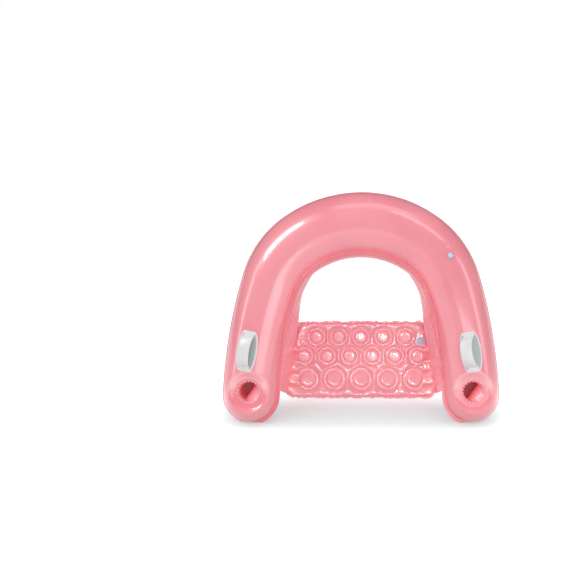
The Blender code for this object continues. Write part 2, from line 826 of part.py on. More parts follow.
def cup_pocket(label, side, parent):
    """A pleated sleeve welded under the front sheet, and the round floor on its foot."""
    mouth = cup_middle(side) + FRONT * (cup_level() - SHEET - GAP)
    foot = CUP_DEPTH - SHEET / 2
    profile = [
        (CUP_WELD_RADIUS, 0, 0),
        (CUP_MOUTH_RADIUS, 0, 0),
        ((CUP_MOUTH_RADIUS + CUP_WALL_RADIUS) / 2, CUP_FUNNEL_DEPTH / 3, 1),
        (CUP_WALL_RADIUS, CUP_FUNNEL_DEPTH, 1),
        (CUP_WALL_RADIUS, CUP_DEPTH / 2, CUP_PLEAT_FADE_SHARE),
        (CUP_WALL_RADIUS, foot, 0),
        (CUP_FOOT_RADIUS, foot, 0),
    ]
    mesh = bmesh.new()
    revolve(mesh, profile, mouth, frame_of(FRONT), CUP_SIDES, CUP_PLEAT, CUP_PLEATS)
    tidy(mesh)
    vinyl = plastic(label + "_sleeve_vinyl", SEAT_PINK, 0.25)
    finish(mesh, "cup_sleeve_" + label, vinyl, SHEET, parent)
    mesh = bmesh.new()
    level = foot - SHEET - GAP
    radius = CUP_WALL_RADIUS - SHEET - GAP
    rows = revolve(mesh, [(radius, level, 0)], mouth, frame_of(FRONT), CUP_SIDES)
    mesh.faces.new(rows[0])
    tidy(mesh)
    vinyl = plastic(label + "_floor_vinyl", SEAT_PINK, 0.25)
    finish(mesh, "cup_floor_" + label, vinyl, SHEET, parent)


def on_handle(side, along, across, lift):
    """A point over the tube's wall: along towards the arch, across towards the outside."""
    distance = half_length() - HANDLE_ALONG - along
    cut = station(distance, side)
    turn = HANDLE_TURN_RIGHT if side > 0 else HANDLE_TURN_LEFT
    angle = QUARTER_TURN + turn + across / cut.radius
    return cut.centre + around(cut, angle) * (cut.radius + lift)


def barrel(share):
    """Width of the barrel-shaped patch, with round corners, at a share of its half length."""
    swell = math.sqrt(max(1 - share * share, 0))
    width = HANDLE_END_WIDTH + (HANDLE_PATCH_WIDTH - HANDLE_END_WIDTH) * swell
    into = max(1 - (1 - abs(share)) * HANDLE_LENGTH / 2 / HANDLE_CORNER, 0)
    return width - 2 * HANDLE_CORNER * (1 - math.sqrt(max(1 - into * into, 0)))


def handle_patch(label, side, parent):
    step = HANDLE_PATCH_WIDTH / HANDLE_COLUMNS / TUBE_ARM_RADIUS
    chord = TUBE_ARM_RADIUS * (1 - math.cos(step / 2))
    lift = SHEET / 2 + GAP + chord + HANDLE_PATCH_THICKNESS / 2
    rows = []
    for i in range(HANDLE_ROWS + 1):
        share = math.sin(QUARTER_TURN * (2 * i / HANDLE_ROWS - 1))
        width = barrel(share)
        across = spread(-width / 2, width / 2, HANDLE_COLUMNS)
        rows.append([on_handle(side, share * HANDLE_LENGTH / 2, a, lift) for a in across])
    mesh = bmesh.new()
    grid(mesh, rows)
    tidy(mesh)
    white = plastic(label + "_patch_white", WHITE, 0.35)
    finish(mesh, "handle_patch_" + label, white, HANDLE_PATCH_THICKNESS, parent)
    return lift + HANDLE_PATCH_THICKNESS / 2


def strap_arch(share):
    """Height share of the strap, from 1 at its middle to 0 where it lands on the patch."""
    reach = 1 - 2 * STRAP_LAND / HANDLE_LENGTH
    inner = min(abs(share) / reach, 1)
    return (1 - inner**STRAP_SHARPNESS) ** STRAP_FULLNESS


def handle_strap(label, side, top, parent):
    lean = STRAP_SHIFT_RIGHT if side > 0 else STRAP_SHIFT_LEFT
    rows = []
    for i in range(HANDLE_ROWS + 1):
        share = math.sin(QUARTER_TURN * (2 * i / HANDLE_ROWS - 1))
        arch = strap_arch(share)
        width = STRAP_END_WIDTH + (STRAP_WIDTH - STRAP_END_WIDTH) * arch
        shift = lean * arch
        lift = top + GAP + STRAP_THICKNESS / 2 + STRAP_HEIGHT * arch
        row = []
        for across in spread(-width / 2, width / 2, HANDLE_COLUMNS):
            crown = (1 - (2 * across / width) ** 2) * STRAP_THICKNESS * arch
            along = share * (HANDLE_LENGTH / 2 - STRAP_INSET)
            row.append(on_handle(side, along, across + shift, lift + crown))
        rows.append(row)
    mesh = bmesh.new()
    grid(mesh, rows)
    tidy(mesh)
    white = plastic(label + "_strap_white", WHITE, 0.35)
    finish(mesh, "handle_strap_" + label, white, STRAP_THICKNESS, parent)


def turned_solid(name, profile, place, normal, material, parent, open_bore=False, shift=0):
    """A solid turned from radius and depth pairs, with its origin at the given place."""
    mesh = bmesh.new()
    own_axes = (ACROSS, UP.cross(ACROSS), UP)
    rows = revolve(mesh, [(r, d, 0) for r, d in profile], ACROSS * shift, own_axes, VALVE_SIDES)
    if open_bore:
        for i in range(VALVE_SIDES):
            mesh.faces.new((rows[-1][i - 1], rows[-1][i], rows[0][i], rows[0][i - 1]))
    else:
        mesh.faces.new(rows[0])
        mesh.faces.new(rows[-1])
    tidy(mesh)
    thing = finish(mesh, name, material, 0, parent)
    turn = Matrix(frame_of(normal)).transposed().to_4x4()
    thing.matrix_local = Matrix.Translation(place) @ turn


def valve(label, place, normal, parent):
    """A push-in valve: weld flange with collar, sliding stem, plug with its tether, check flap."""
    face = SHEET / 2 + GAP
    collar = VALVE_STEM_RADIUS + VALVE_RUNNING_GAP
    soft = plastic(label + "_flange_blue", VALVE_BLUE, 0.3)
    outer = collar + VALVE_COLLAR_WALL
    under = face + VALVE_FLANGE_THICKNESS
    ring = [
        (VALVE_FLANGE_RADIUS, face),
        (VALVE_FLANGE_RADIUS, under),
        (outer, under),
        (outer, face + VALVE_COLLAR_LENGTH),
        (collar, face + VALVE_COLLAR_LENGTH),
        (collar, face),
    ]
    turned_solid(label + "_flange", ring, place, normal, soft, parent, True)
    seat = face - GAP
    top = seat - VALVE_LIP_THICKNESS
    stem_ring = [
        (VALVE_LIP_RADIUS, top),
        (VALVE_LIP_RADIUS, seat),
        (VALVE_STEM_RADIUS, seat),
        (VALVE_STEM_RADIUS, seat + VALVE_STEM_LENGTH),
        (VALVE_BORE_RADIUS, seat + VALVE_STEM_LENGTH),
        (VALVE_BORE_RADIUS, top),
    ]
    soft = plastic(label + "_stem_blue", VALVE_BLUE, 0.3)
    turned_solid(label + "_stem", stem_ring, place, normal, soft, parent, True)
    head = top - GAP
    spigot = VALVE_BORE_RADIUS - VALVE_RUNNING_GAP
    plug_shape = [
        (PLUG_HEAD_RADIUS, head - PLUG_HEAD_THICKNESS),
        (PLUG_HEAD_RADIUS, head),
        (spigot, head),
        (spigot - PLUG_TAPER, head + PLUG_LENGTH),
    ]
    soft = plastic(label + "_plug_blue", VALVE_BLUE, 0.25)
    turned_solid(label + "_plug", plug_shape, place, normal, soft, parent)
    lip_middle, head_middle = (top + seat) / 2, head - PLUG_HEAD_THICKNESS / 2
    valve_tether(label, place, normal, lip_middle, head_middle, parent)
    valve_flap(label, place, normal, seat + VALVE_STEM_LENGTH + GAP, parent)


def valve_tether(label, place, normal, lip, head, parent):
    """The strap that ties the plug's head to the stem's lip, looped outside them both."""
    first, second, _ = frame_of(normal)
    middle = (lip + head) / 2 - TETHER_LIFT
    root = VALVE_LIP_RADIUS + TETHER_ROOT
    path = [(VALVE_LIP_RADIUS + GAP, lip)]
    for turn in (-TETHER_TURN, 0, TETHER_TURN):
        reach = root + TETHER_REACH * math.cos(turn)
        path.append((reach, middle - TETHER_RISE * math.sin(turn)))
    path.append((PLUG_HEAD_RADIUS + GAP, head))
    rows = []
    for reach, depth in path:
        centre = place + first * reach - normal * depth
        rows.append([centre - second * TETHER_WIDTH / 2, centre + second * TETHER_WIDTH / 2])
    mesh = bmesh.new()
    grid(mesh, rows)
    tidy(mesh)
    soft = plastic(label + "_tether_blue", VALVE_BLUE, 0.3)
    finish(mesh, label + "_tether", soft, TETHER_THICKNESS, parent)


def valve_flap(label, place, normal, level, parent):
    """The soft check flap over the stem's inner end; its origin is on the hinge at its edge."""
    first = frame_of(normal)[0]
    hinge = place + first * FLAP_RADIUS - normal * level
    soft = plastic(label + "_flap_blue", VALVE_BLUE, 0.35)
    profile = [(FLAP_RADIUS, 0), (FLAP_RADIUS, FLAP_THICKNESS)]
    turned_solid(label + "_flap", profile, hinge, normal, soft, parent, False, -FLAP_RADIUS)


def stand_up(parent):
    """Leans the chair back on its three supports, with its base's middle at the origin."""
    parent.rotation_euler = (-floor_angle(), 0, 0)
    bpy.context.view_layer.update()
    corners = []
    graph = bpy.context.evaluated_depsgraph_get()
    for thing in parent.children:
        shape = thing.evaluated_get(graph)
        corners += [shape.matrix_world @ vert.co for vert in shape.data.vertices]
    low = Vector([min(corner[i] for corner in corners) for i in range(3)])
    high = Vector([max(corner[i] for corner in corners) for i in range(3)])
    parent.location = Vector((-(low.x + high.x) / 2, -(low.y + high.y) / 2, -low.z))
    bpy.context.view_layer.update()


def build():
    clear_scene()
    chair = bpy.data.objects.new("chair", None)
    bpy.context.scene.collection.objects.link(chair)
    tube_front_sheet(chair)
    tube_back_sheet(chair)
    seat_sheets(chair)
    for label, side in (("left", -1), ("right", 1)):
        seat_web("seat_web_" + label, side, chair)
        cup_pocket(label, side, chair)
        top = handle_patch(label, side, chair)
        handle_strap(label, side, top, chair)
    valve("main_valve", *main_valve_place(), chair)
    valve("seat_valve", *seat_valve_place(), chair)
    stand_up(chair)


build()
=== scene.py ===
"""An inflatable pool chair: a U-shaped tube that carries a slung seat, two cup pockets and two handles.

The chair is modelled upright in its own frame, x across, -y to the front and z up along the
plane of the tube. Each finished piece is then leaned back onto the floor, where the solids are.
"""

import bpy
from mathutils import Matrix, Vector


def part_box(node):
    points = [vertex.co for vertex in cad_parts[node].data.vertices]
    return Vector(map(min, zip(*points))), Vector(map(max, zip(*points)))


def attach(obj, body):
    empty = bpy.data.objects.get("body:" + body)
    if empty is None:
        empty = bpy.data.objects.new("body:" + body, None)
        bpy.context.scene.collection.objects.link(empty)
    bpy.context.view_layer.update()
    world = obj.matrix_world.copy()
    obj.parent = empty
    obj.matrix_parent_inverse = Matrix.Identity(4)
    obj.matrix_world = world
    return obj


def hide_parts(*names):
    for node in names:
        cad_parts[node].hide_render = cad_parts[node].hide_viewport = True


bl_info = {
    "name": "Inflatable Pool Chair",
    "version": (1, 0, 0),
    "blender": (4, 5, 0),
    "location": "3D View > Sidebar > Pool Chair",
    "description": "Builds an inflatable pool chair piece by piece",
    "category": "Object",
}

import math

import bmesh
import bpy
import numpy as np
from mathutils import Matrix, Vector
from mathutils.geometry import delaunay_2d_cdt

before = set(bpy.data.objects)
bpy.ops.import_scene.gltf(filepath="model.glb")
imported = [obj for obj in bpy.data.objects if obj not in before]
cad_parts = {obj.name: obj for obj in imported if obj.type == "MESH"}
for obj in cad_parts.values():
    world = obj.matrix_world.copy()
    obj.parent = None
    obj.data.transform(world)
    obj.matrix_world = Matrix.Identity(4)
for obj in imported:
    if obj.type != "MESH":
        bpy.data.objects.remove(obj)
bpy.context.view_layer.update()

SHEET = 0.00045
GAP = 0.0003

# The tube's centreline, from the top of the arch down to an arm's end: radius and sweep.
ARCS = (
    (0.385, math.radians(33.4)),
    (0.290, math.radians(38.3)),
    (1.610, math.radians(14.76)),
)
HALF_LENGTH = sum(radius * sweep for radius, sweep in ARCS)
CROWN_RADIUS = 0.119
ARM_RADIUS = 0.099

SEAM_ANGLE = math.radians(39.0)
SEAM_RUN_SHARE = 0.45
SEAM_END_SHARE = 0.3
INNER_FLANGE = 0.013
OUTER_FLANGE = 0.005
FLOOR_DENT = 0.0015
FLANGE_LIFT = 0.0004
STANCE = ARM_RADIUS + SHEET / 2 - FLOOR_DENT

WEB_FOOT_ALONG = 0.022
WEB_LENGTH = 0.520
WEB_CURL_SHARE = 0.35
WEB_WELD = 0.005
WEB_TUCK = 0.012
WEB_STAND_OFF = 1.5 * (SHEET + GAP)
SEAT_DEPTH_FRONT = 0.232
SEAT_DEPTH_BACK = 0.250
SEAT_DROP_FRONT = 0.0472
SEAT_DROP_BACK = 0.1777
SEAT_FRONT_INSET = 0.003
SEAT_BACK_FLARE = 0.067
SEAT_SAG = 0.018
SEAT_CORNER = 0.030
SEAT_HEM = 0.009
FIELD_HEIGHT = 0.014
FIELD_REACH = 0.017
UNDERSIDE_SHARE = 0.85
DOME_HEIGHT = 0.014
RING_FILL = 0.468
RING_STAGGER = 0.43
# Rings in each row, room left at its sides, and its share of the way from the back to the front.
RING_ROWS = ((5, 0.0427, 0.1945), (6, 0.0086, 0.4543), (5, 0.0320, 0.766))
# How far the domes of each row lean, across and upwards, and the domes that lean otherwise.
ROW_LEANS = ((0.10, 0.05), (0.13, 0.02), (-0.08, -0.22))
EVEN_DOMES = {2: (0.0, -0.15), 3: (0.0, -0.15), 8: (0.0, 0.0), 9: (0.0, 0.0)}
# Widths of the dark lines along the hem's weld, a ring's weld and the crease inside it; the crease's
# line is painted shade.
HEM_WELD = 0.002
RING_WELD = 0.0016
RING_CREASE = 0.003
RING_CREASE_SHADE = 0.9
WRINKLE_PITCH = 0.045
HEM_RUFFLES = 38
# How far out the domes are calm when the seat is blown up, and how much they still move.
DOME_CALM_REACH = 0.85
DOME_CALM = 0.1
# The front hem's scalloped lobe.
LOBE_PLACE = -0.27
LOBE_WIDTH = 0.035
BORDER_STEP = 0.003
CORNER_POINTS = 17

CUP_ALONG = 0.015
DISH_RADIUS = 0.77 * ARM_RADIUS
DISH_DEPTH = 0.020
CUP_WELD_RADIUS = 0.0465
CUP_MOUTH_RADIUS = 0.0415
CUP_WALL_RADIUS = 0.0350
CUP_FUNNEL_DEPTH = 0.012
CUP_DEPTH = 0.105
CUP_FOOT_RADIUS = 0.026
FUNNEL_SHARES = (0.08, 0.2, 0.35, 0.5, 0.65, 0.8, 1.0)
FUNNEL_BEND = 0.6
PLEAT_SIDES = 144
PLEAT_SHARPNESS = 0.8
CUP_SIDES = 120
CUP_GATHERS = 18
CUP_GATHER_REACH = 0.012
DISH_STEPS = 12
DISH_BEND = 1.1
DISH_LOW_BEND = 1.3
# Painted shade in the dish's lower half, and a painted highlight in a paler band above a pocket.
SHADE_RISE = 0.012
SHADE_FADE = 0.006
SHADE_RIM = 0.003
HIGHLIGHT_RADIUS = (CUP_WELD_RADIUS + DISH_RADIUS) / 2
HIGHLIGHT_WIDTH = 0.015
HIGHLIGHT_FADE = 0.06
# A pocket's limp sleeve: the way it is laid, how near its axis it comes, and how round its folds are.
SLUMP_WAY = np.array((0.8, 0, -0.6))
SLUMP_CORE = 0.004
SLUMP_ROUND = 0.004

HANDLE_ALONG = 0.1615
HANDLE_TURNS = {-1: math.radians(11.5), 1: math.radians(2.5)}
HANDLE_LENGTH = 0.143
HANDLE_CORNER = 0.005
PATCH_WIDTH = 0.076
PATCH_END_WIDTH = 0.046
PATCH_FULLNESS = 2.6
PATCH_THICKNESS = 0.0015
PATCH_RIM_DROP = 0.0004
PATCH_BEVEL = 0.0004
# The painted shade in the middle of a plate, under its strap: its rim, its share of the length, and how
# softly it ends.
STRAP_SHADE_RIM = 0.004
STRAP_SHADE_SHARE = 0.9
STRAP_SHADE_FADE = 0.003
STRAP_THICKNESS = 0.0020
STRAP_WIDTH = 0.036
STRAP_END_WIDTH = 0.038
STRAP_INSET = 0.007
STRAP_HEIGHT = 0.026
STRAP_LAND = 0.011
STRAP_SHIFTS = {-1: 0.001, 1: -0.017}
STRAP_SHARPNESS = 2.4
STRAP_FULLNESS = 0.62
STRAP_WAIST = 0.14
STRAP_RIBS = 5
STRAP_BEVEL = 0.0006

VALVE_HOLE_RADIUS = 0.0110
VALVE_SEAT_RADIUS = 0.0175
VALVE_BLEND_RADIUS = 0.0270
VALVE_DIMPLE = 0.0016
VALVE_CLEARANCE = 0.0045
VALVE_SIDES = 48
VALVE_WELD_RADII = (VALVE_HOLE_RADIUS, 0.0125, 0.0150)
VALVE_SKIN_RADII = (0.0168, VALVE_SEAT_RADIUS, 0.0190, 0.0210, 0.0235, VALVE_BLEND_RADIUS, 0.0300)
VALVE_CLEAR_RADIUS = 0.0325
SEAT_VALVE_INSET = 0.0255
MAIN_VALVE_ALONG = 0.3314
MAIN_VALVE_TURN = math.radians(18.0)

LAMP_DISTANCE = 2.5
CAMERA_DISTANCE = 3.0
CAMERA_HEIGHT = 0.416
CAMERA_LENS = 50.95

# Folds of the webs: start, end, width and height. A start or an end is a share of the way to the
# front and a share of the way to the seat.
WEB_FOLDS = {
    -1: (
        ((0.25, 0.25), (0.75, 0.35), 0.10, 1.0),
        ((0.35, 0.62), (0.80, 0.70), 0.08, 0.7),
    ),
    1: (
        ((0.15, 0.20), (0.90, 0.32), 0.08, 1.2),
        ((0.20, 0.45), (0.70, 0.55), 0.07, 0.9),
        ((0.06, 0.68), (0.35, 0.84), 0.05, 0.8),
    ),
}

# Points across a weld flange or a hem, as shares of its width.
STRIP = (0.25, 0.5, 0.75, 1.0)
# Where the inner seam gathers most and over what length: in the bends, and over the webs.
BEND_GATHER = (0.32, 0.14)
ARM_GATHER = (0.16, 0.16)
OUTER_GATHER = 0.05
# How dark the welds are, as a share of their full tone, and how dark the painted shade in a cup dish's
# lower half is.
FLANGE_TONE = 0.55
SEAM_TONE = 0.8
CUP_WELD_TONE = 0.7
VALVE_WELD_TONE = 0.6
DISH_SHADE = 0.45
CREASE = math.radians(50)
# Seeds of the soft uneven swells.
SEEDS = {
    "gathers": 5,
    "gather reach": 8,
    "outer gathers": 15,
    "tube": 21,
    "flange": 31,
    "pockets": 41,
    "seat": {-1: 60, 1: 160},
    "ruffle": 71,
    "ruffle height": 72,
    "hem": 73,
    "webs": 81,
}

# Shares of a tint: where the vinyl is cooler or warmer, where a moulding is dull, and the painted shade
# under a handle's strap.
COOL = (0.97, 0.92, 0.95)
WARM = (1.03, 1.07, 1.05)
DULL = (0.93, 0.93, 0.94)
STRAP_SHADE = (0.56, 0.60, 0.60)

# Lamps: name, setting of its power and share of it, way from the chair, run of its long side,
# size, and whether it is broad. The seat's lamps light only the seat and the webs.
STREAK_RUN = (0.55, 0.0, 0.46)
UPRIGHT = (0, 0, 1)
ROOM_LAMPS = (
    ("key", "key_power", 1.0, (-0.61, -0.31, 0.73), STREAK_RUN, (1.6, 1.2), True),
    ("overhead", "top_power", 1.0, (0.12, -0.1, 0.98), (1, 0, 0), (1.9, 0.8), True),
    ("streak", "streak_power", 1.0, (-0.66, -0.31, 0.68), STREAK_RUN, (1.2, 0.5), False),
    ("window", "window_power", 1.0, (0.44, -0.90, 0.0), UPRIGHT, (0.8, 1.8), False),
    ("shoulder", "shoulder_power", 1.0, (0.48, -0.31, 0.82), (0.36, -0.04, -0.22), (1.3, 0.4), False),
    ("left edge", "edge_power", 1.0, (-0.95, -0.22, 0.2), UPRIGHT, (1.5, 0.35), False),
    ("right edge", "edge_power", 1.0, (0.92, -0.32, 0.22), UPRIGHT, (1.5, 0.5), False),
)
SEAT_LAMPS = (
    ("low", "seat_power", 1.0, (0.0, -0.97, 0.20), UPRIGHT, (1.6, 1.6), True),
    ("spots", "glint_power", 1.0, (0.03, -0.94, 0.31), UPRIGHT, (0.55, 0.55), False),
    ("crescents", "glint_power", 2.0, (-0.62, -0.70, 0.34), UPRIGHT, (1.3, 0.6), False),
)
LAMP_HEIGHT = 0.45
FLOOR_SIZE = 14
STANCE_HALF_WIDTH = 0.36
STANCE_FRONT = 0.07
CAMERA_SHIFT = (-73 / 576, 20 / 576)
WHITE = (1, 1, 1, 1)
BLACK = (0, 0, 0, 1)

FRONT = np.array((0.0, -1.0, 0.0))
UP = np.array((0.0, 0.0, 1.0))
ACROSS = np.array((1.0, 0.0, 0.0))
QUARTER = math.pi / 2
MERGE = 0.00001
SIDES = ((-1, "left"), (1, "right"))


def smooth(share):
    """A soft step: 0 up to 0, 1 from 1 on."""
    share = np.clip(share, 0, 1)
    return share * share * (3 - 2 * share)


def bump(reach):
    """A round hump: 1 in the middle, fading to both sides."""
    return np.exp(-(reach**2))


def crowded(columns, amount):
    """Shares from 0 to 1, drawn closer together towards both ends."""
    share = np.linspace(0, 1, columns + 1)
    return share - amount * np.sin(2 * math.pi * share)


def ripple(x, y, seed, waves=7, spread=1.0):
    """A soft uneven swell between about -1 and 1 over two coordinates, the same on every run."""
    chance = np.random.default_rng(seed)
    total = np.zeros(np.broadcast(x, y).shape)
    for _ in range(waves):
        turn = chance.uniform(0, 2 * math.pi)
        pace = chance.uniform(0.55, 1.6) * 2 * math.pi
        shift = chance.uniform(0, 2 * math.pi)
        total += np.sin(pace * (x * math.cos(turn) + y * math.sin(turn) * spread) + shift)
    return total / math.sqrt(2 * waves)


class Cuts:
    """Cross-sections of the tube: distance from the arch's top, side, and angle round an arm's dome."""

    def __init__(self, distance, side, rise):
        self.distance = distance
        self.rise = rise
        across, down, heading = walk(distance)
        share = smooth(distance / HALF_LENGTH)
        self.radius = CROWN_RADIUS + (ARM_RADIUS - CROWN_RADIUS) * share
        flat = np.zeros_like(across)
        self.centre = np.stack((side * across, flat, TIP_HEIGHT - down), -1)
        self.outward = np.stack((side * np.sin(heading), flat, np.cos(heading)), -1)
        self.axial = np.stack((side * np.cos(heading), flat, -np.sin(heading)), -1)
        self.along = HALF_LENGTH - distance
        run = smooth(self.along / (HALF_LENGTH * SEAM_RUN_SHARE))
        self.seam = SEAM_ANGLE * (SEAM_END_SHARE + (1 - SEAM_END_SHARE) * run)
        self.calm = np.cos(rise)
        dome = ARM_RADIUS * rise
        self.run = side * (distance + dome)

    def leans(self, angles):
        """Directions out of the wall, one for each section and angle."""
        a = np.asarray(angles)[..., None]
        round_it = FRONT * np.sin(a) - self.outward[:, None, :] * np.cos(a)
        rise = self.rise[:, None, None]
        return round_it * np.cos(rise) + self.axial[:, None, :] * np.sin(rise)

    def wall(self, angles, lift=0):
        reach = self.radius[:, None, None] + np.asarray(lift)[..., None]
        return self.centre[:, None, :] + self.leans(angles) * reach

    def tangents(self, angles):
        a = np.asarray(angles)[..., None]
        return FRONT * np.cos(a) + self.outward[:, None, :] * np.sin(a)


def walk(distance):
    """Place and heading on the right half of the centreline, distance from the top of the arch."""
    rest = np.asarray(distance, float)
    across, down, heading = (np.zeros_like(rest) for _ in range(3))
    for radius, sweep in ARCS:
        turn = np.clip(rest / radius, 0, sweep)
        across = across + radius * (np.sin(heading + turn) - np.sin(heading))
        down = down + radius * (np.cos(heading) - np.cos(heading + turn))
        heading = heading + turn
        rest = rest - radius * sweep
    return across, down, heading


TIP_HEIGHT = float(walk(HALF_LENGTH)[1]) + ARM_RADIUS


def one_cut(distance, side, rise=0.0):
    return Cuts(np.array([distance]), np.array([float(side)]), np.array([rise]))


def all_cuts(pitch):
    """Sections from the left arm's end over the arch to the right arm's end."""
    steps = math.ceil(HALF_LENGTH / pitch)
    caps = math.ceil(ARM_RADIUS * QUARTER / pitch)
    distance = np.linspace(0, HALF_LENGTH, steps + 1)
    rise = np.linspace(0, QUARTER, caps + 1)[1:]
    right_d = np.concatenate((distance, np.full(caps, HALF_LENGTH)))
    right_r = np.concatenate((np.zeros(steps + 1), rise))
    d = np.concatenate((right_d[:0:-1], right_d))
    r = np.concatenate((right_r[:0:-1], right_r))
    side = np.concatenate((-np.ones(len(right_d) - 1), np.ones(len(right_d))))
    return Cuts(d, side, r)


def straight_cuts(distance, side):
    """Sections square to the centreline on one side of the chair."""
    return Cuts(distance, np.full(len(distance), float(side)), np.zeros(len(distance)))


SECTIONS = {side: straight_cuts(np.linspace(0, HALF_LENGTH, 1201), side) for side in (-1, 1)}


def nearest_sections(points):
    """Centre and radius of the tube nearest to each point of its middle plane."""
    points = np.atleast_2d(points)
    centres, radii = np.empty_like(points), np.empty(len(points))
    for side, cuts in SECTIONS.items():
        mine = (points[:, 0] >= 0) == (side > 0)
        if mine.any():
            flat = points[mine][:, None, (0, 2)] - cuts.centre[None, :, (0, 2)]
            best = np.argmin((flat**2).sum(-1), 1)
            centres[mine], radii[mine] = cuts.centre[best], cuts.radius[best]
    return centres, radii


def onto_tube(points):
    """The nearest places on the tube's wall."""
    points = np.atleast_2d(points)
    centres, radii = nearest_sections(points)
    out = points - centres
    return centres + out / np.linalg.norm(out, axis=1)[:, None] * radii[:, None]


def front_wall(points):
    """The tube's front wall straight in front of points of the middle plane."""
    centres, radii = nearest_sections(points)
    flat = ((points - centres)[:, (0, 2)] ** 2).sum(1)
    wall = points.copy()
    wall[:, 1] = -np.sqrt(np.maximum(radii**2 - flat, 0))
    return wall


def circle(centre, first, second, radius, sides):
    """Points round a centre, from the first direction towards the second."""
    turn = np.arange(sides) * 2 * math.pi / sides
    return centre + radius * (np.outer(np.cos(turn), first) + np.outer(np.sin(turn), second))


def frame_of(normal):
    """Three directions square to each other, the last of them the normal."""
    first = np.cross(UP, normal)
    first = first / np.linalg.norm(first)
    return first, np.cross(normal, first), normal


def web_rims(side, steps):
    """The line along an arm's inner side that a web is welded to."""
    foot = HALF_LENGTH - WEB_FOOT_ALONG
    cuts = straight_cuts(np.linspace(foot - WEB_LENGTH, foot, steps + 1), side)
    return cuts.centre - cuts.outward * (cuts.radius[:, None] + GAP + SHEET)


RIMS = web_rims(1, 7)
SEAT_BACK = (RIMS[0, 0] + SEAT_BACK_FLARE, RIMS[0, 2] - SEAT_DROP_BACK)
SEAT_FRONT = (RIMS[-1, 0] - SEAT_FRONT_INSET, RIMS[-1, 2] - SEAT_DROP_FRONT)
SEAT_LENGTH = SEAT_BACK[1] - SEAT_FRONT[1]


def seat_half_width(share):
    """Half the seat's width at a share of the way from its back to its front."""
    return SEAT_BACK[0] + (SEAT_FRONT[0] - SEAT_BACK[0]) * share


def seat_depth(x, z):
    """Depth of the sling behind the tube's middle plane."""
    share = np.clip((SEAT_BACK[1] - z) / SEAT_LENGTH, 0, 1)
    hollow = np.maximum(1 - (x / seat_half_width(share)) ** 2, 0) * 4 * share * (1 - share)
    return SEAT_DEPTH_BACK + (SEAT_DEPTH_FRONT - SEAT_DEPTH_BACK) * share + SEAT_SAG * hollow


def lean_angle():
    """How far the chair leans back to rest on its arm ends and on the hem of its seat."""
    depth = SEAT_DEPTH_FRONT + GAP / 2 + SHEET
    rise = ARM_RADIUS - (SEAT_FRONT[1] - SEAT_HEM)
    return math.atan2(depth, rise) - math.acos(STANCE / math.hypot(depth, rise))


LEAN = lean_angle()
CUP_MIDDLES = {side: one_cut(HALF_LENGTH - CUP_ALONG, side).centre[0] for side, _ in SIDES}
CUP_LEVEL = math.sqrt(ARM_RADIUS**2 - CUP_WELD_RADIUS**2) - DISH_DEPTH


def chair_place():
    """Turns the upright chair's points into the solids' frame, found from a cup pocket's floor."""
    turn = Matrix.Rotation(-LEAN, 4, "X")
    low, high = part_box("cup_floor_left")
    depth = CUP_DEPTH - SHEET / 2 - SHEET - GAP
    level = CUP_LEVEL - SHEET - GAP - depth
    floor = Vector(CUP_MIDDLES[-1] + FRONT * level)
    return Matrix.Translation((low + high) / 2 - turn @ floor) @ turn


CHAIR = chair_place()


class Figure:
    """A number or colour on its way through a node tree; sums on it add the maths nodes."""

    def __init__(self, graph, socket):
        self.graph = graph
        self.socket = socket

    def named(self, output):
        """Another output of the same node."""
        return Figure(self.graph, self.socket.node.outputs[output])

    def maths(self, operation, *others):
        """One maths node on this figure, and on others after it."""
        return self.graph.maths(operation, self, *others)

    def __add__(self, other):
        return self.maths("ADD", other)

    def __radd__(self, other):
        return self.graph.maths("ADD", other, self)

    def __sub__(self, other):
        return self.maths("SUBTRACT", other)

    def __rsub__(self, other):
        return self.graph.maths("SUBTRACT", other, self)

    def __mul__(self, other):
        return self.maths("MULTIPLY", other)

    def __rmul__(self, other):
        return self.graph.maths("MULTIPLY", other, self)

    def __pow__(self, other):
        return self.maths("POWER", other)


class Graph:
    """A node tree that is being written, for a finish or for geometry."""

    def __init__(self, tree):
        self.tree = tree

    def node(self, kind, settings=None, sockets=None, output=0):
        """Adds one node, its settings first and then its sockets, and gives one of its outputs."""
        made = self.tree.nodes.new(kind)
        for name, value in (settings or {}).items():
            setattr(made, name, value)
        self.feed(made, sockets or {})
        return Figure(self, made.outputs[output])

    def feed(self, node, sockets):
        """Gives sockets of a node their figures or plain values."""
        for name, value in sockets.items():
            if isinstance(value, Figure):
                self.tree.links.new(value.socket, node.inputs[name])
            else:
                node.inputs[name].default_value = value

    def maths(self, operation, *values):
        """One maths node on figures and numbers."""
        return self.node("ShaderNodeMath", {"operation": operation}, dict(enumerate(values)))

    def mix(self, share, first, second):
        """Mixes two colours."""
        settings = {"data_type": "RGBA"}
        return self.node("ShaderNodeMix", settings, {0: share, 6: first, 7: second}, 2)

    def band(self, value, low, high):
        """A soft step from 0 to 1 between two values."""
        settings = {"interpolation_type": "SMOOTHSTEP"}
        return self.node("ShaderNodeMapRange", settings, {0: value, 1: low, 2: high})

    def noise(self, place, scale, detail):
        """A cloudy pattern over the piece."""
        sockets = {"Vector": place, "Scale": scale, "Detail": detail}
        return self.node("ShaderNodeTexNoise", None, sockets)

    def written(self, name):
        """A number that the mesh holds for each of its points."""
        return self.node("ShaderNodeAttribute", {"attribute_name": name}, output=2)

    def grain(self, height, strength, distance):
        """Normals that follow a height."""
        sockets = {"Strength": strength, "Distance": distance, "Height": height}
        return self.node("ShaderNodeBump", None, sockets)


def colour(value, share=1.0):
    """A colour with its alpha, darkened to a share."""
    return (value[0] * share, value[1] * share, value[2] * share, 1.0)


def shaded(tint, shares):
    """A tint with a share of its own for each channel."""
    return colour([min(channel * share, 1) for channel, share in zip(tint, shares)])


def new_finish(name):
    """A material whose shader is set up, and the graph that feeds it."""
    material = bpy.data.materials.new(name)
    material.use_nodes = True
    return material, Graph(material.node_tree), material.node_tree.nodes["Principled BSDF"]


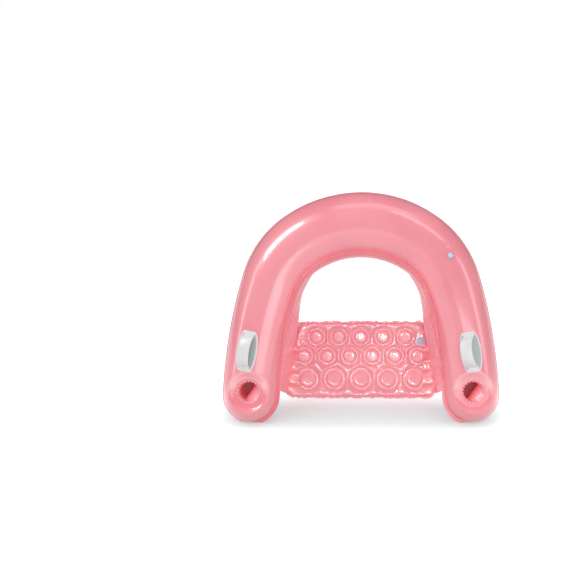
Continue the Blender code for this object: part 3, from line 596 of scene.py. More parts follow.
def vinyl(name, tint, sheen, glow, depth=0.6, wave=0.2, clear=0.7):
    """Glossy calendered vinyl: slightly uneven colour, deeper at the welds and where the weld attribute
    carries painted shade, a painted highlight where thin marks it, a painted glow from its emission,
    and faint waves.
    """
    material, graph, shader = new_finish(name)
    place = graph.node("ShaderNodeTexCoord", output=3)
    # The weld attribute darkens real welds, and it also carries painted shade: a cup dish's lower half,
    # deep in a pocket, and the creases round the seat's domes.
    weld = graph.written("weld")
    thin = graph.written("thin")
    cloud = graph.band(graph.noise(place, 5.0, 0.0), 0.38, 0.64)
    haze = graph.band(graph.noise(place, 11.0, 2.0), 0.42, 0.7)
    deep = shaded(tint, (1, depth, depth))
    highlight_tint = colour([1 - 0.6 * (1 - channel) for channel in tint])
    # A painted highlight: where thin marks it, above each cup pocket, the colour and the emission turn
    # to a paler tint.
    body = graph.mix(thin * 0.6, graph.mix(cloud, shaded(tint, COOL), shaded(tint, WARM)), highlight_tint)
    # A painted glow: the emission lifts the vinyl as if it were lit from inside, deeper at the welds.
    painted_glow_colour = graph.mix(weld * 0.5, colour(tint, 0.4), colour(deep, 0.4))
    sockets = {
        "Base Color": graph.mix(weld * 0.8, body, deep),
        "Roughness": sheen + 0.04 * haze + 0.2 * weld,
        "Coat Weight": clear * (1 - 0.85 * weld),
        "Coat Roughness": 0.11,
        "IOR": 1.5,
        "Emission Color": graph.mix(thin * 0.7, painted_glow_colour, highlight_tint),
        "Emission Strength": 2.5 * glow,
        "Normal": graph.grain(graph.noise(place, 14.0, 1.5), wave, 0.002),
    }
    graph.feed(shader, sockets)
    return material


def moulded(name, tint, sheen):
    """Soft moulded plastic with a fine matt grain, and painted shade where its hollow attribute marks
    the place under a handle's strap.
    """
    material, graph, shader = new_finish(name)
    place = graph.node("ShaderNodeTexCoord", output=3)
    cloud = graph.noise(place, 22.0, 4.0)
    body = graph.mix(graph.band(cloud, 0.4, 0.66), shaded(tint, DULL), colour(tint))
    sockets = {
        # The hollow attribute paints shade into the base colour, where the strap's shadow falls on its
        # plate.
        "Base Color": graph.mix(graph.written("hollow"), body, shaded(tint, STRAP_SHADE)),
        "Roughness": sheen + 0.08 * cloud,
        "Normal": graph.grain(graph.noise(place, 1400.0, 1.0), 0.12, 0.001),
    }
    graph.feed(shader, sockets)
    return material


def tree_inputs(tree, sockets):
    """Names the inputs of a geometry tree."""
    kinds = {float: "NodeSocketFloat", int: "NodeSocketInt"}
    tree.interface.new_socket("Geometry", in_out="INPUT", socket_type="NodeSocketGeometry")
    tree.interface.new_socket("Geometry", in_out="OUTPUT", socket_type="NodeSocketGeometry")
    for name, default in sockets.items():
        if default is None:
            tree.interface.new_socket(name, in_out="INPUT", socket_type="NodeSocketMaterial")
        else:
            made = tree.interface.new_socket(name, in_out="INPUT", socket_type=kinds[type(default)])
            made.default_value = default


def new_tree(name, sockets):
    """A geometry tree with named inputs; gives its graph and a figure for each input."""
    tree = bpy.data.node_groups.new(name, "GeometryNodeTree")
    tree_inputs(tree, sockets)
    entry = tree.nodes.new("NodeGroupInput")
    graph = Graph(tree)
    return graph, {s.name: Figure(graph, s) for s in entry.outputs if s.name}


def close_tree(graph, shape, finish):
    """Ends a geometry tree: real geometry, shaded smooth, in its finish."""
    shape = graph.node("GeometryNodeRealizeInstances", None, {0: shape})
    shape = graph.node("GeometryNodeSetShadeSmooth", None, {0: shape})
    shape = graph.node("GeometryNodeSetMaterial", None, {0: shape, "Material": finish})
    end = graph.tree.nodes.new("NodeGroupOutput")
    graph.tree.links.new(shape.socket, end.inputs[0])
    return graph.tree


def turned_tree():
    """A shape turned from a line of radius and height points, with folds or ridges round it."""
    sockets = {"Sides": 96, "Folds": 18, "Fold Height": 0.0012, "Sharpness": 1.0, "Finish": None}
    graph, given = new_tree("turned shape", sockets)
    profile = given["Geometry"]
    count = graph.node("GeometryNodeAttributeDomainSize", None, {0: profile})
    sockets = {"Size X": 1.0, "Size Y": 1.0, "Vertices X": given["Sides"] + 1.0, "Vertices Y": count}
    board = graph.node("GeometryNodeMeshGrid", None, sockets)
    place = graph.node("GeometryNodeInputPosition")
    spot = graph.node("ShaderNodeSeparateXYZ", None, {0: place})
    angle = (spot + 0.5) * (2 * math.pi)
    row = ((spot.named(1) + 0.5) * (count - 1.0) + 0.25).maths("FLOOR")
    sockets = {0: profile, "Value": place, "Index": row}
    there = graph.node("GeometryNodeSampleIndex", {"data_type": "FLOAT_VECTOR"}, sockets)
    radius = graph.node("ShaderNodeSeparateXYZ", None, {0: there})
    number = {"data_type": "FLOAT"}
    fold = graph.node("GeometryNodeInputNamedAttribute", number, {"Name": "fold"})
    folds = graph.node("GeometryNodeSampleIndex", number, {0: profile, "Value": fold, "Index": row})
    wave = (angle * given["Folds"]).maths("COSINE")
    crisp = wave.maths("ABSOLUTE") ** given["Sharpness"] * wave.maths("SIGN")
    reach = radius + folds * given["Fold Height"] * crisp
    sockets = {0: reach * angle.maths("COSINE"), 1: reach * angle.maths("SINE"), 2: radius.named(2)}
    point = graph.node("ShaderNodeCombineXYZ", None, sockets)
    shape = graph.node("GeometryNodeSetPosition", None, {0: board, "Position": point})
    shape = graph.node("GeometryNodeMergeByDistance", None, {0: shape, "Distance": MERGE})
    return close_tree(graph, shape, given["Finish"])


def carried(name, data):
    """A new object in the scene for a mesh, a lamp or a camera."""
    carrier = bpy.data.objects.new(name, data)
    bpy.context.collection.objects.link(carrier)
    return carrier


def settled(carrier, name):
    """The plain mesh that an object's modifiers make of its own, which goes with the object."""
    graph = bpy.context.evaluated_depsgraph_get()
    shape = bpy.data.meshes.new_from_object(carrier.evaluated_get(graph))
    mesh = carrier.data
    bpy.data.objects.remove(carrier)
    bpy.data.meshes.remove(mesh)
    shape.name = name
    return shape


def grown(name, mesh, tree, values):
    """Runs a geometry tree on a mesh and gives the plain mesh that it makes."""
    carrier = carried(name, mesh)
    modifier = carrier.modifiers.new(tree.name, "NODES")
    modifier.node_group = tree
    for item in tree.interface.items_tree:
        if item.item_type == "SOCKET" and item.in_out == "INPUT" and item.name in values:
            modifier[item.identifier] = values[item.name]
    carrier.update_tag()
    return settled(carrier, name)


def line_mesh(name, line, folds):
    """A line of points as loose edges, with how deep the folds are at each, for a geometry tree."""
    mesh = bpy.data.meshes.new(name)
    mesh.from_pydata(line, [(i, i + 1) for i in range(len(line) - 1)], [])
    mesh.attributes.new("fold", "FLOAT", "POINT").data.foreach_set("value", folds)
    return mesh


def dress(mesh, finish):
    """Gives a mesh one finish in place of what it had."""
    mesh.materials.clear()
    mesh.materials.append(finish)


def show(name, mesh, finish, replaced):
    """Puts a finished mesh in the scene, on the chair's body and in place of some of its nodes."""
    dress(mesh, finish)
    piece = carried(name, mesh)
    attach(piece, "chair")
    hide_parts(*replaced)
    return piece


def thicken(name, mesh, thickness, bevel=0.0):
    """Gives a sheet its wall, centred on the sheet, and a rounded edge where it is thick."""
    carrier = carried(name, mesh)
    wall = carrier.modifiers.new("wall", "SOLIDIFY")
    wall.thickness, wall.offset, wall.use_even_offset = thickness, 0, False
    if bevel:
        edge = carrier.modifiers.new("edge", "BEVEL")
        edge.width, edge.segments, edge.limit_method = bevel, 3, "ANGLE"
    return settled(carrier, name)


def add_grid(mesh, points):
    """Adds rows of points as quads and gives the vertices."""
    verts = [[mesh.verts.new(point) for point in row] for row in points]
    for upper, lower in zip(verts, verts[1:]):
        for i in range(1, len(upper)):
            mesh.faces.new((upper[i - 1], upper[i], lower[i], lower[i - 1]))
    return verts


def border_loop(faces):
    """The closed loop of vertices round a set of faces, in order."""
    links = {}
    for face in faces:
        for edge in face.edges:
            if sum(other in faces for other in edge.link_faces) == 1:
                a, b = edge.verts
                links.setdefault(a, []).append(b)
                links.setdefault(b, []).append(a)
    start = next(iter(links))
    loop, last = [start], None
    while True:
        step = [vert for vert in links[loop[-1]] if vert is not last][0]
        if step is start:
            return loop
        last = loop[-1]
        loop.append(step)


def within(point, loop):
    """Whether a flat point lies inside a loop of flat points."""
    hit = False
    for i, a in enumerate(loop):
        b = loop[i - 1]
        if (a[1] > point[1]) != (b[1] > point[1]):
            if point[0] < (b[0] - a[0]) * (point[1] - a[1]) / (b[1] - a[1]) + a[0]:
                hit = not hit
    return hit


def stitch(mesh, outer, inner, flat):
    """Fills between an outer and an inner loop of vertices with triangles."""
    verts = list(outer) + list(inner)
    places = [Vector(flat(vert.co)) for vert in verts]
    count = len(outer)
    edges = [(i, (i + 1) % count) for i in range(count)]
    edges += [(count + i, count + (i + 1) % len(inner)) for i in range(len(inner))]
    points, _, faces, sources, _, _ = delaunay_2d_cdt(places, edges, [], 0, MERGE / 10)
    rim, hole = places[:count], places[count:]
    made = []
    for face in faces:
        corners = [points[i] for i in face]
        middle = (corners[0] + corners[1] + corners[2]) / 3
        if within(middle, rim) and not within(middle, hole):
            made.append(mesh.faces.new([verts[sources[i][0]] for i in face]))
    return made


def open_up(mesh, middle, axes, reach, rings, depth):
    """Clears a round place in a skin and joins rings round a hole to what is left of it."""
    first, second, normal = (Vector(axis) for axis in axes)
    middle = Vector(middle)

    def flat(point):
        return (point - middle).dot(first), (point - middle).dot(second)

    near = [
        vert
        for vert in mesh.verts
        if math.hypot(*flat(vert.co)) < reach and abs((vert.co - middle).dot(normal)) < depth
    ]
    faces = {face for vert in near for face in vert.link_faces}
    loop = border_loop(faces)
    bmesh.ops.delete(mesh, geom=near, context="VERTS")
    made = add_grid(mesh, [list(ring) + [ring[0]] for ring in rings])
    stitch(mesh, loop, made[-1][:-1], flat)
    return made


def tidy(mesh, toward):
    """Merges doubles and turns every face the same way, towards a direction on the whole."""
    bmesh.ops.remove_doubles(mesh, verts=mesh.verts, dist=MERGE)
    bmesh.ops.dissolve_degenerate(mesh, edges=mesh.edges, dist=MERGE)
    bmesh.ops.recalc_face_normals(mesh, faces=mesh.faces)
    if toward is not None:
        total = Vector()
        for face in mesh.faces:
            total += face.normal * face.calc_area()
        if total.dot(Vector(toward)) < 0:
            bmesh.ops.reverse_faces(mesh, faces=mesh.faces)
    for face in mesh.faces:
        face.smooth = True


def as_mesh(name, mesh, crease=None):
    """Ends a mesh in the making: leaned back into the solids' frame, with its creases marked."""
    if crease is not None:
        for edge in mesh.edges:
            if len(edge.link_faces) == 2 and edge.calc_face_angle(0) > crease:
                edge.smooth = False
    data = bpy.data.meshes.new(name)
    mesh.to_mesh(data)
    mesh.free()
    data.transform(CHAIR)
    return data


def flange_widths(cuts, width):
    """The weld flange is pressed back where it would reach the floor under the arm's end."""
    stance = STANCE / math.cos(LEAN) - FLANGE_LIFT
    room = stance / np.maximum(np.sin(cuts.rise), 1e-6) - ARM_RADIUS
    return np.where(cuts.rise > 0, np.clip(room, SHEET, width), width)


def pucker(cuts, look):
    """How strongly the skin gathers at the inner seam: most in the bends and over the webs."""
    bend = bump((cuts.distance - BEND_GATHER[0]) / BEND_GATHER[1])
    arm = bump((cuts.along - ARM_GATHER[0]) / ARM_GATHER[1])
    return look.pucker_height * (0.35 + 0.75 * bend + 0.6 * arm) * cuts.calm**2


def skin_lift(cuts, angles, look):
    """Height of the welds' pull and of the gathers over the even tube, for each place."""
    run, calm = cuts.run[:, None], cuts.calm[:, None]
    radius = cuts.radius[:, None] * calm + 1e-4
    inner = np.abs(angles - cuts.seam[:, None]) * radius
    outer = np.abs(math.pi - np.abs(angles)) * radius
    pull = np.exp(-inner / look.weld_pull_reach) + 0.7 * np.exp(-outer / look.weld_pull_reach)
    lift = look.weld_pull * pull * calm
    phase = run / look.pucker_pitch + 1.2 * ripple(run / 0.07, inner / 0.2, SEEDS["gathers"])
    fold = 0.5 + 0.5 * np.sin(2 * math.pi * (phase + inner / 0.11))
    reach = look.pucker_reach * (1 + 0.5 * ripple(run / 0.06, 0 * run, SEEDS["gather reach"]))
    fade = np.exp(-inner / np.maximum(reach, 0.006)) - np.exp(-inner / 0.0025)
    lift -= pucker(cuts, look)[:, None] * fold**1.5 * np.maximum(fade, 0)
    slow = 1.1 * ripple(run / 0.09, outer / 0.2, SEEDS["outer gathers"])
    phase = run / (look.pucker_pitch * 1.3) + slow
    fold = 0.5 + 0.5 * np.sin(2 * math.pi * phase)
    fade = np.exp(-outer / 0.016) - np.exp(-outer / 0.002)
    lift -= OUTER_GATHER * look.pucker_height * fold**2 * np.maximum(fade, 0) * calm**2
    swell = ripple(run / 0.33, angles * radius / 0.2, SEEDS["tube"])
    return lift + look.swell_height * swell * calm**2


def flange_sway(cuts, look):
    """How far the free weld flange bends to the front or back along its run."""
    return look.flange_sway * ripple(cuts.run / 0.05, 0 * cuts.run, SEEDS["flange"]) * cuts.calm**2


def skin_rows(cuts, angles, look, halves):
    """Rows of a tube skin: inner flange, wall and outer flange; halves part it from its mate."""
    wall = cuts.wall(angles, skin_lift(cuts, angles, look))
    ends = []
    for column, half, width in ((0, halves[0], INNER_FLANGE), (-1, halves[1], OUTER_FLANGE)):
        angle = angles[:, column][:, None]
        tangent = cuts.tangents(angle)[:, 0, :]
        lean = cuts.leans(angle)[:, 0, :]
        root = wall[:, column, :] + tangent * half
        wall[:, column, :] = root
        widths = np.maximum(flange_widths(cuts, width) - look.weld_pull * cuts.calm, SHEET)
        sway = flange_sway(cuts, look) * (width == INNER_FLANGE)
        strip = [
            root + lean * (widths * share)[:, None] + tangent * (sway * share**1.5)[:, None]
            for share in STRIP
        ]
        ends.append(np.stack(strip, 1))
    rows = np.concatenate((ends[0][:, ::-1], wall, ends[1]), 1)
    for row in (0, -1):
        rows[row] = cuts.centre[row] + cuts.axial[row] * ARM_RADIUS + FRONT * halves[0]
    return rows


def mark_flange(rows, weld):
    """Darkens the inner weld flange and, more, the weld at its root."""
    for row in rows:
        for vert in row[: len(STRIP)]:
            vert[weld] = FLANGE_TONE
        row[len(STRIP)][weld] = SEAM_TONE


def cup_rings(side, look):
    """Rings of the front skin from a cup pocket's cut edge over its weld to the tube's free wall."""
    level = CUP_MIDDLES[side] + FRONT * CUP_LEVEL
    dish = DISH_RADIUS - CUP_WELD_RADIUS
    radii = [CUP_MOUTH_RADIUS, CUP_MOUTH_RADIUS + 0.0012, 0.5 * (CUP_MOUTH_RADIUS + CUP_WELD_RADIUS)]
    radii += [CUP_WELD_RADIUS - 0.0008, CUP_WELD_RADIUS]
    radii += [CUP_WELD_RADIUS + dish * (i / DISH_STEPS) for i in range(1, DISH_STEPS + 1)]
    turn = np.arange(CUP_SIDES) * 2 * math.pi / CUP_SIDES
    low = smooth(0.5 - np.sin(turn) * 1.2)
    wave = np.sin(CUP_GATHERS * turn + 2.5 * ripple(turn, 0 * turn, SEEDS["pockets"]))
    rings = []
    for radius in radii:
        ring = circle(level, ACROSS, UP, radius, CUP_SIDES)
        free = front_wall(ring * (1, 0, 1))
        out = max(radius - CUP_WELD_RADIUS, 0)
        share = smooth((out / dish) ** (DISH_BEND + DISH_LOW_BEND * low))
        ring = ring + (free - ring) * share[:, None]
        gather = look.cup_gather * math.exp(-out / CUP_GATHER_REACH)
        rings.append(ring + FRONT * (gather * wave * min(out / 0.006, 1))[:, None])
    return rings


def dish_tones(place):
    """Tones round a cup pocket, at a place from its middle: painted shade low down, a painted highlight
    above.
    """
    reach = math.hypot(place.x, place.z)
    low = float(smooth((place.z + SHADE_RISE) / SHADE_FADE))
    near = float(smooth((DISH_RADIUS - SHADE_RIM - reach) / SHADE_RIM))
    high = float(smooth(0.5 - place.z / HIGHLIGHT_FADE))
    return DISH_SHADE * low * near, high * math.exp(-(((reach - HIGHLIGHT_RADIUS) / HIGHLIGHT_WIDTH) ** 2))


def valve_place():
    """Where the main valve sits, and its axis."""
    cut = one_cut(MAIN_VALVE_ALONG, 1)
    normal = cut.leans([[QUARTER + MAIN_VALVE_TURN]])[0, 0]
    return cut.centre[0] + normal * (cut.radius[0] - VALVE_DIMPLE), normal


def valve_rings(place, normal, project):
    """Rings of a skin from a valve's hole over its flat weld to the free wall."""
    first, second, _ = frame_of(normal)
    rings = []
    for radius in VALVE_WELD_RADII + VALVE_SKIN_RADII:
        ring = circle(place, first, second, radius, VALVE_SIDES)
        rings.append(ring + (project(ring) - ring) * float(valve_share(radius)))
    return rings


def valve_share(reach):
    """How much of the skin's own shape there is at a distance from a valve's middle."""
    return smooth((reach - VALVE_SEAT_RADIUS) / (VALVE_BLEND_RADIUS - VALVE_SEAT_RADIUS))


def front_skin(look):
    """The tube's front sheet, with the two cup seats and the main valve's hole."""
    cuts = all_cuts(look.skin_pitch)
    angles = cuts.seam[:, None] + (math.pi - cuts.seam[:, None]) * crowded(66, 0.055)
    half = (GAP + SHEET) / 2
    rows = skin_rows(cuts, angles, look, (half, -half))
    mesh = bmesh.new()
    weld, thin = (mesh.verts.layers.float.new(name) for name in ("weld", "thin"))
    mark_flange(add_grid(mesh, rows), weld)
    for side, _ in SIDES:
        level = CUP_MIDDLES[side] + FRONT * CUP_LEVEL
        rings = cup_rings(side, look)
        made = open_up(mesh, level, (ACROSS, UP, FRONT), DISH_RADIUS + 0.004, rings, 0.06)
        for i, ring in enumerate(made):
            for vert in ring:
                # Painted shade over the dish's lower half goes into the weld attribute, and a painted
                # highlight above the pocket goes into thin.
                shade, vert[thin] = dish_tones(Vector(level) - vert.co)
                vert[weld] = CUP_WELD_TONE if 1 < i < 5 else shade
    place, normal = valve_place()
    rings = valve_rings(place, normal, onto_tube)
    made = open_up(mesh, place, frame_of(normal), VALVE_CLEAR_RADIUS, rings, 0.03)
    for ring in made[:5]:
        for vert in ring:
            vert[weld] = VALVE_WELD_TONE
    tidy(mesh, FRONT)
    return as_mesh("front_skin", mesh, CREASE)


def back_skin(look):
    """The tube's back sheet, pressed flat where the arm ends stand on the floor."""
    cuts = all_cuts(look.skin_pitch)
    angles = cuts.seam[:, None] - (math.pi + cuts.seam[:, None]) * crowded(84, 0.06)
    half = (GAP + SHEET) / 2
    rows = skin_rows(cuts, angles, look, (-half, half))
    upward = np.array((0, -math.sin(LEAN), math.cos(LEAN)))
    tip = one_cut(HALF_LENGTH, 1).centre[0] * (0, 0, 1)
    floor = tip - upward * (STANCE - SHEET / 2)
    below = np.minimum((rows - floor) @ upward, 0)
    rows = rows - below[..., None] * upward
    mesh = bmesh.new()
    weld = mesh.verts.layers.float.new("weld")
    mark_flange(add_grid(mesh, rows), weld)
    tidy(mesh, -FRONT)
    return as_mesh("back_skin", mesh, CREASE)


def seat_border(spread):
    """Rounded outline of the seat in plan, anticlockwise from the front, in step for every spread."""
    corners = [
        np.array((-SEAT_BACK[0], SEAT_BACK[1])),
        np.array((-SEAT_FRONT[0], SEAT_FRONT[1])),
        np.array((SEAT_FRONT[0], SEAT_FRONT[1])),
        np.array((SEAT_BACK[0], SEAT_BACK[1])),
    ]
    arcs = []
    for i, corner in enumerate(corners):
        before = corners[i - 1] - corner
        after = corners[(i + 1) % 4] - corner
        before, after = before / np.linalg.norm(before), after / np.linalg.norm(after)
        half = math.acos(float(before @ after)) / 2
        toward = (before + after) / np.linalg.norm(before + after)
        centre = corner + toward * SEAT_CORNER / math.sin(half)
        start = corner + before * SEAT_CORNER / math.tan(half) - centre
        sweep = math.pi - 2 * half
        arc = []
        for turn in np.linspace(0, sweep, CORNER_POINTS):
            c, s = math.cos(turn), math.sin(turn)
            arc.append((centre, np.array((start[0] * c - start[1] * s, start[0] * s + start[1] * c))))
        arcs.append(arc)
    points = []
    for i, arc in enumerate(arcs):
        points += [centre + out * (SEAT_CORNER + spread) / SEAT_CORNER for centre, out in arc]
        end, start = arc[-1], arcs[(i + 1) % 4][0]
        length = np.linalg.norm(start[0] + start[1] - end[0] - end[1])
        a = end[0] + end[1] * (SEAT_CORNER + spread) / SEAT_CORNER
        b = start[0] + start[1] * (SEAT_CORNER + spread) / SEAT_CORNER
        steps = math.ceil(length / BORDER_STEP)
        points += [a + (b - a) * k / steps for k in range(1, steps)]
    return np.array(points)


def ring_places():
    """Centre in plan and radius of every round weld of the seat."""
    places = []
    for count, room, share in RING_ROWS:
        nearest = min(abs(other[2] - share) for other in RING_ROWS if other[2] != share)
        half = seat_half_width(share)
        across = (half - room) / ((count - 1) / (2 * RING_FILL) + 1)
        stagger = (half - room - across) / (count - 1)
        radius = min(RING_STAGGER * math.hypot(nearest * SEAT_LENGTH, stagger), across)
        outermost = half - room - radius
        z = SEAT_BACK[1] - SEAT_LENGTH * share
        places += [(outermost * (2 * i / (count - 1) - 1), z, radius) for i in range(count)]
    return places


def border_distance(x, z, loop):
    """Distance from flat points to a closed line."""
    best = np.full(x.shape, 1e9)
    for a, b in zip(loop, np.roll(loop, -1, 0)):
        run = b - a
        share = np.clip(((x - a[0]) * run[0] + (z - a[1]) * run[1]) / (run @ run), 0, 1)
        best = np.minimum(best, np.hypot(x - a[0] - share * run[0], z - a[1] - share * run[1]))
    return best


def dome_leans():
    """How far each dome of the seat leans, across and upwards."""
    leans = [lean for row, lean in zip(RING_ROWS, ROW_LEANS) for _ in range(row[0])]
    return [EVEN_DOMES.get(i, lean) for i, lean in enumerate(leans)]


def puff(x, z, look, seed):
    """How far the blown-up seat stands off the sling's middle, and how near a weld each place is, with
    painted shade along each dome's crease.
    """
    gap = border_distance(x, z, seat_border(0))
    pinch = (gap + 1e-5) ** -2.0
    inside = np.zeros(x.shape)
    weld = bump(gap / HEM_WELD)
    for (cx, cz, radius), lean in zip(ring_places(), dome_leans()):
        reach = np.hypot(x - cx, z - cz)
        turn = np.arctan2(z - cz, x - cx)
        tilt = look.dome_tilt * (lean[0] * (x - cx) + lean[1] * (z - cz))
        wave = ripple(turn * 1.9, reach / 0.2, seed + int(1000 * (cx + 2 * cz)) % 97)
        away = np.maximum(reach - radius, 0)
        pinch = pinch + (away * (1 + 0.10 * wave * np.exp(-away / 0.02)) + 1e-5) ** -2.0
        inner = radius * (1 - look.ring_step)
        lip = np.clip((radius - reach) / (radius - inner), 0, 1)
        ridge = np.sin(math.pi * lip) ** 0.8
        dome = 1 - np.clip(reach / inner, 0, 1) ** look.dome_fullness
        level = look.ring_foot * smooth(lip)
        crest = DOME_HEIGHT - look.ring_foot + tilt
        height = level + look.ring_lip * ridge * (reach > inner) + crest * dome
        inside = np.maximum(inside, np.where(reach < radius, height * (1 + 0.04 * wave), 0))
        weld = np.maximum(weld, bump((reach - radius) / RING_WELD))
        # Painted shade along the crease round each dome, carried in the weld mask.
        weld = np.maximum(weld, RING_CREASE_SHADE * bump((reach - inner) / RING_CREASE))
    gap = pinch**-0.5
    share = np.clip(gap / FIELD_REACH, 0, 1)
    field = FIELD_HEIGHT * (1 - (1 - share) ** 2) ** 0.7
    folds = ripple(x / WRINKLE_PITCH, z / WRINKLE_PITCH, seed + 3) * np.clip(gap / 0.01, 0, 1)
    field = field + look.seat_wrinkle * folds
    return np.where(inside > 0, inside, np.maximum(field, 0)), weld


def seat_valve_place():
    """Where the seat's valve sits on the upper sheet, from its flange among the solids."""
    low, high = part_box("seat_valve_flange")
    middle = CHAIR.inverted() @ ((low + high) / 2)
    z = SEAT_BACK[1] - SEAT_LENGTH * RING_ROWS[1][2]
    z = z + ring_places()[RING_ROWS[0][0]][2] + VALVE_SEAT_RADIUS + VALVE_CLEARANCE
    x = seat_half_width((SEAT_BACK[1] - z) / SEAT_LENGTH) - SEAT_VALVE_INSET
    return np.array((x, middle.y, z))


def seat_grid(pitch, look):
    """Even places over the seat, drawn onto its ring welds, and which of them the welds hold."""
    xs = np.arange(-SEAT_BACK[0], SEAT_BACK[0] + pitch, pitch)
    zs = np.arange(SEAT_FRONT[1], SEAT_BACK[1] + pitch, pitch)
    x, z = np.meshgrid(xs, zs, indexing="ij")
    held = np.zeros(x.shape, bool)
    for cx, cz, radius in ring_places():
        for ring in (radius, radius * (1 - look.ring_step)):
            dx, dz = x - cx, z - cz
            reach = np.hypot(dx, dz) + 1e-9
            near = np.abs(reach - ring) < pitch * 0.5
            x = np.where(near, cx + dx / reach * ring, x)
            z = np.where(near, cz + dz / reach * ring, z)
            held |= near
    return x, z, held


def seat_side(mesh, layers, pitch, side, share, look):
    """One sheet of the seat: side is -1 for the upper one and 1 for the lower one."""
    tone, hold = layers
    half = side * (GAP + SHEET)
    border = seat_border(0)
    x, z, held = seat_grid(pitch, look)
    gap = border_distance(x, z, border)
    inner = inside_mask(x, z, border) & (gap > pitch * 0.8)
    height, weld = puff(x, z, look, SEEDS["seat"][side])
    depth = seat_depth(x, z) + half / 2 + side * share * height
    if side < 0:
        place = seat_valve_place()
        reach = np.hypot(x - place[0], z - place[2])
        depth = place[1] + (depth - place[1]) * valve_share(reach)
        held |= reach < VALVE_SEAT_RADIUS + pitch
    verts = np.full(x.shape, None, object)
    for i, j in zip(*np.nonzero(inner)):
        vert = mesh.verts.new((x[i, j], depth[i, j], z[i, j]))
        vert[tone], vert[hold] = weld[i, j], float(held[i, j])
        verts[i, j] = vert
    made = []
    for i in range(x.shape[0] - 1):
        for j in range(x.shape[1] - 1):
            corners = (verts[i, j], verts[i + 1, j], verts[i + 1, j + 1], verts[i, j + 1])
            if all(corner is not None for corner in corners):
                made.append(mesh.faces.new(corners))
    rim = border_loop(set(made))
    level = seat_depth(border[:, 0], border[:, 1]) + half / 2
    welded = [mesh.verts.new((p[0], y, p[1])) for p, y in zip(border, level)]
    for vert in welded:
        vert[tone] = vert[hold] = 1.0
    stitch(mesh, welded, rim, lambda co: (co.x, co.z))
    loops = [welded]
    for out in STRIP:
        lift = FRONT * (-half / 2 * (1 - 0.3 * out))
        loops.append([mesh.verts.new(point) for point in hem_line(out, look) + lift])
        for vert in loops[-1]:
            vert[tone], vert[hold] = FLANGE_TONE, 1.0
    for near, far in zip(loops, loops[1:]):
        for i in range(len(near)):
            mesh.faces.new((near[i - 1], near[i], far[i], far[i - 1]))
    return loops[-1]


def hem_line(share, look):
    """A line of the seat's flat hem: ruffled towards its free edge, and cut a little unevenly."""
    plain = seat_border(SEAT_HEM)
    line = square_corners(plain)
    turn = np.arange(len(line)) / len(line) * 2 * math.pi
    c, s = np.cos(turn), np.sin(turn)
    even = seat_border(0)
    ragged = smooth(0.5 + 0.9 * ripple(8 * c, 8 * s, SEEDS["hem"]))
    lobe = bump((plain[:, 0] - LOBE_PLACE) / LOBE_WIDTH) * (plain[:, 1] < SEAT_FRONT[1] + 0.03)
    scallop = 0.5 + 0.5 * np.sin(240 * line[:, 0])
    width = 1 - look.hem_ragged * np.clip(ragged + 0.8 * lobe * scallop, 0, 1.6)
    line = even + (line - even) * (share * width)[:, None]
    height = 0.6 + 0.4 * ripple(1.5 * c, 1.5 * s, SEEDS["ruffle height"])
    ruffle = np.sin(HEM_RUFFLES * turn + 3 * ripple(c, s, SEEDS["ruffle"])) * height
    foot = np.clip((line[:, 1] - SEAT_FRONT[1]) / 0.02, 0, 1)
    sway = look.hem_ruffle * share**1.3 * ruffle * (0.15 + 0.85 * foot)
    y = seat_depth(line[:, 0], line[:, 1]) + sway
    return np.stack((line[:, 0], y, line[:, 1]), 1)


def square_corners(line):
    """Fills out the corners at the seat's back, where the hem is cut squarer than its weld."""
    corner = np.array((SEAT_BACK[0] - SEAT_CORNER, SEAT_BACK[1] - SEAT_CORNER))
    out = np.stack((np.abs(line[:, 0]), line[:, 1]), 1) - corner
    square = np.linalg.norm(out, axis=1) / np.maximum(np.abs(out).max(1), 1e-6)
    fill = np.where((out > 0).all(1), 1 + 0.8 * (square - 1), 1)[:, None]
    middle = np.stack((np.sign(line[:, 0]) * corner[0], np.full(len(line), corner[1])), 1)
    return middle + (line - middle) * fill


def inside_mask(x, z, loop):
    """Which flat points lie inside a closed line."""
    hit = np.zeros(x.shape, bool)
    for a, b in zip(loop, np.roll(loop, -1, 0)):
        crosses = (a[1] > z) != (b[1] > z)
        run = b[1] - a[1]
        if abs(run) > 1e-12:
            hit ^= crosses & (x < (b[0] - a[0]) * (z - a[1]) / run + a[0])
    return hit


def blow_up(mesh, look):
    """Lets pressure and a little spare cloth find the folds between the welds."""
    holder = carried(mesh.name, mesh)
    held = np.zeros(len(mesh.vertices), np.float32)
    mesh.attributes["held"].data.foreach_get("value", held)
    group = holder.vertex_groups.new(name="welds")
    group.add([int(i) for i in np.nonzero(held > 0.5)[0]], 1.0, "REPLACE")
    cloth = holder.modifiers.new("vinyl", "CLOTH")
    settings = cloth.settings
    settings.quality, settings.mass, settings.air_damping = 5, 0.2, 2.0
    settings.tension_stiffness, settings.compression_stiffness = 40, 12
    settings.shear_stiffness, settings.bending_stiffness = 12, look.seat_stiffness
    settings.use_pressure, settings.uniform_pressure_force = True, look.seat_pressure
    settings.vertex_group_mass, settings.shrink_min = "welds", -look.seat_spare
    settings.effector_weights.gravity = 0
    cloth.collision_settings.use_collision = False
    scene = bpy.context.scene
    for step in range(1, look.seat_steps + 1):
        scene.frame_set(step)
    graph = bpy.context.evaluated_depsgraph_get()
    shape = holder.evaluated_get(graph).to_mesh()
    start, end = (np.zeros(len(mesh.vertices) * 3, np.float32) for _ in range(2))
    mesh.vertices.foreach_get("co", start)
    shape.vertices.foreach_get("co", end)
    scene.frame_set(1)
    move = (end - start).reshape(-1, 3)
    reach = np.linalg.norm(move, axis=1)[:, None] + 1e-12
    move *= np.minimum(1, look.seat_reach / reach)
    points = start.reshape(-1, 3)
    for cx, cz, radius in ring_places():
        dome = np.hypot(points[:, 0] - cx, points[:, 2] - cz) < DOME_CALM_REACH * radius
        move[dome] *= DOME_CALM
    mesh.vertices.foreach_set("co", start + move.ravel())
    bpy.data.objects.remove(holder)
    mesh.update()
    return mesh


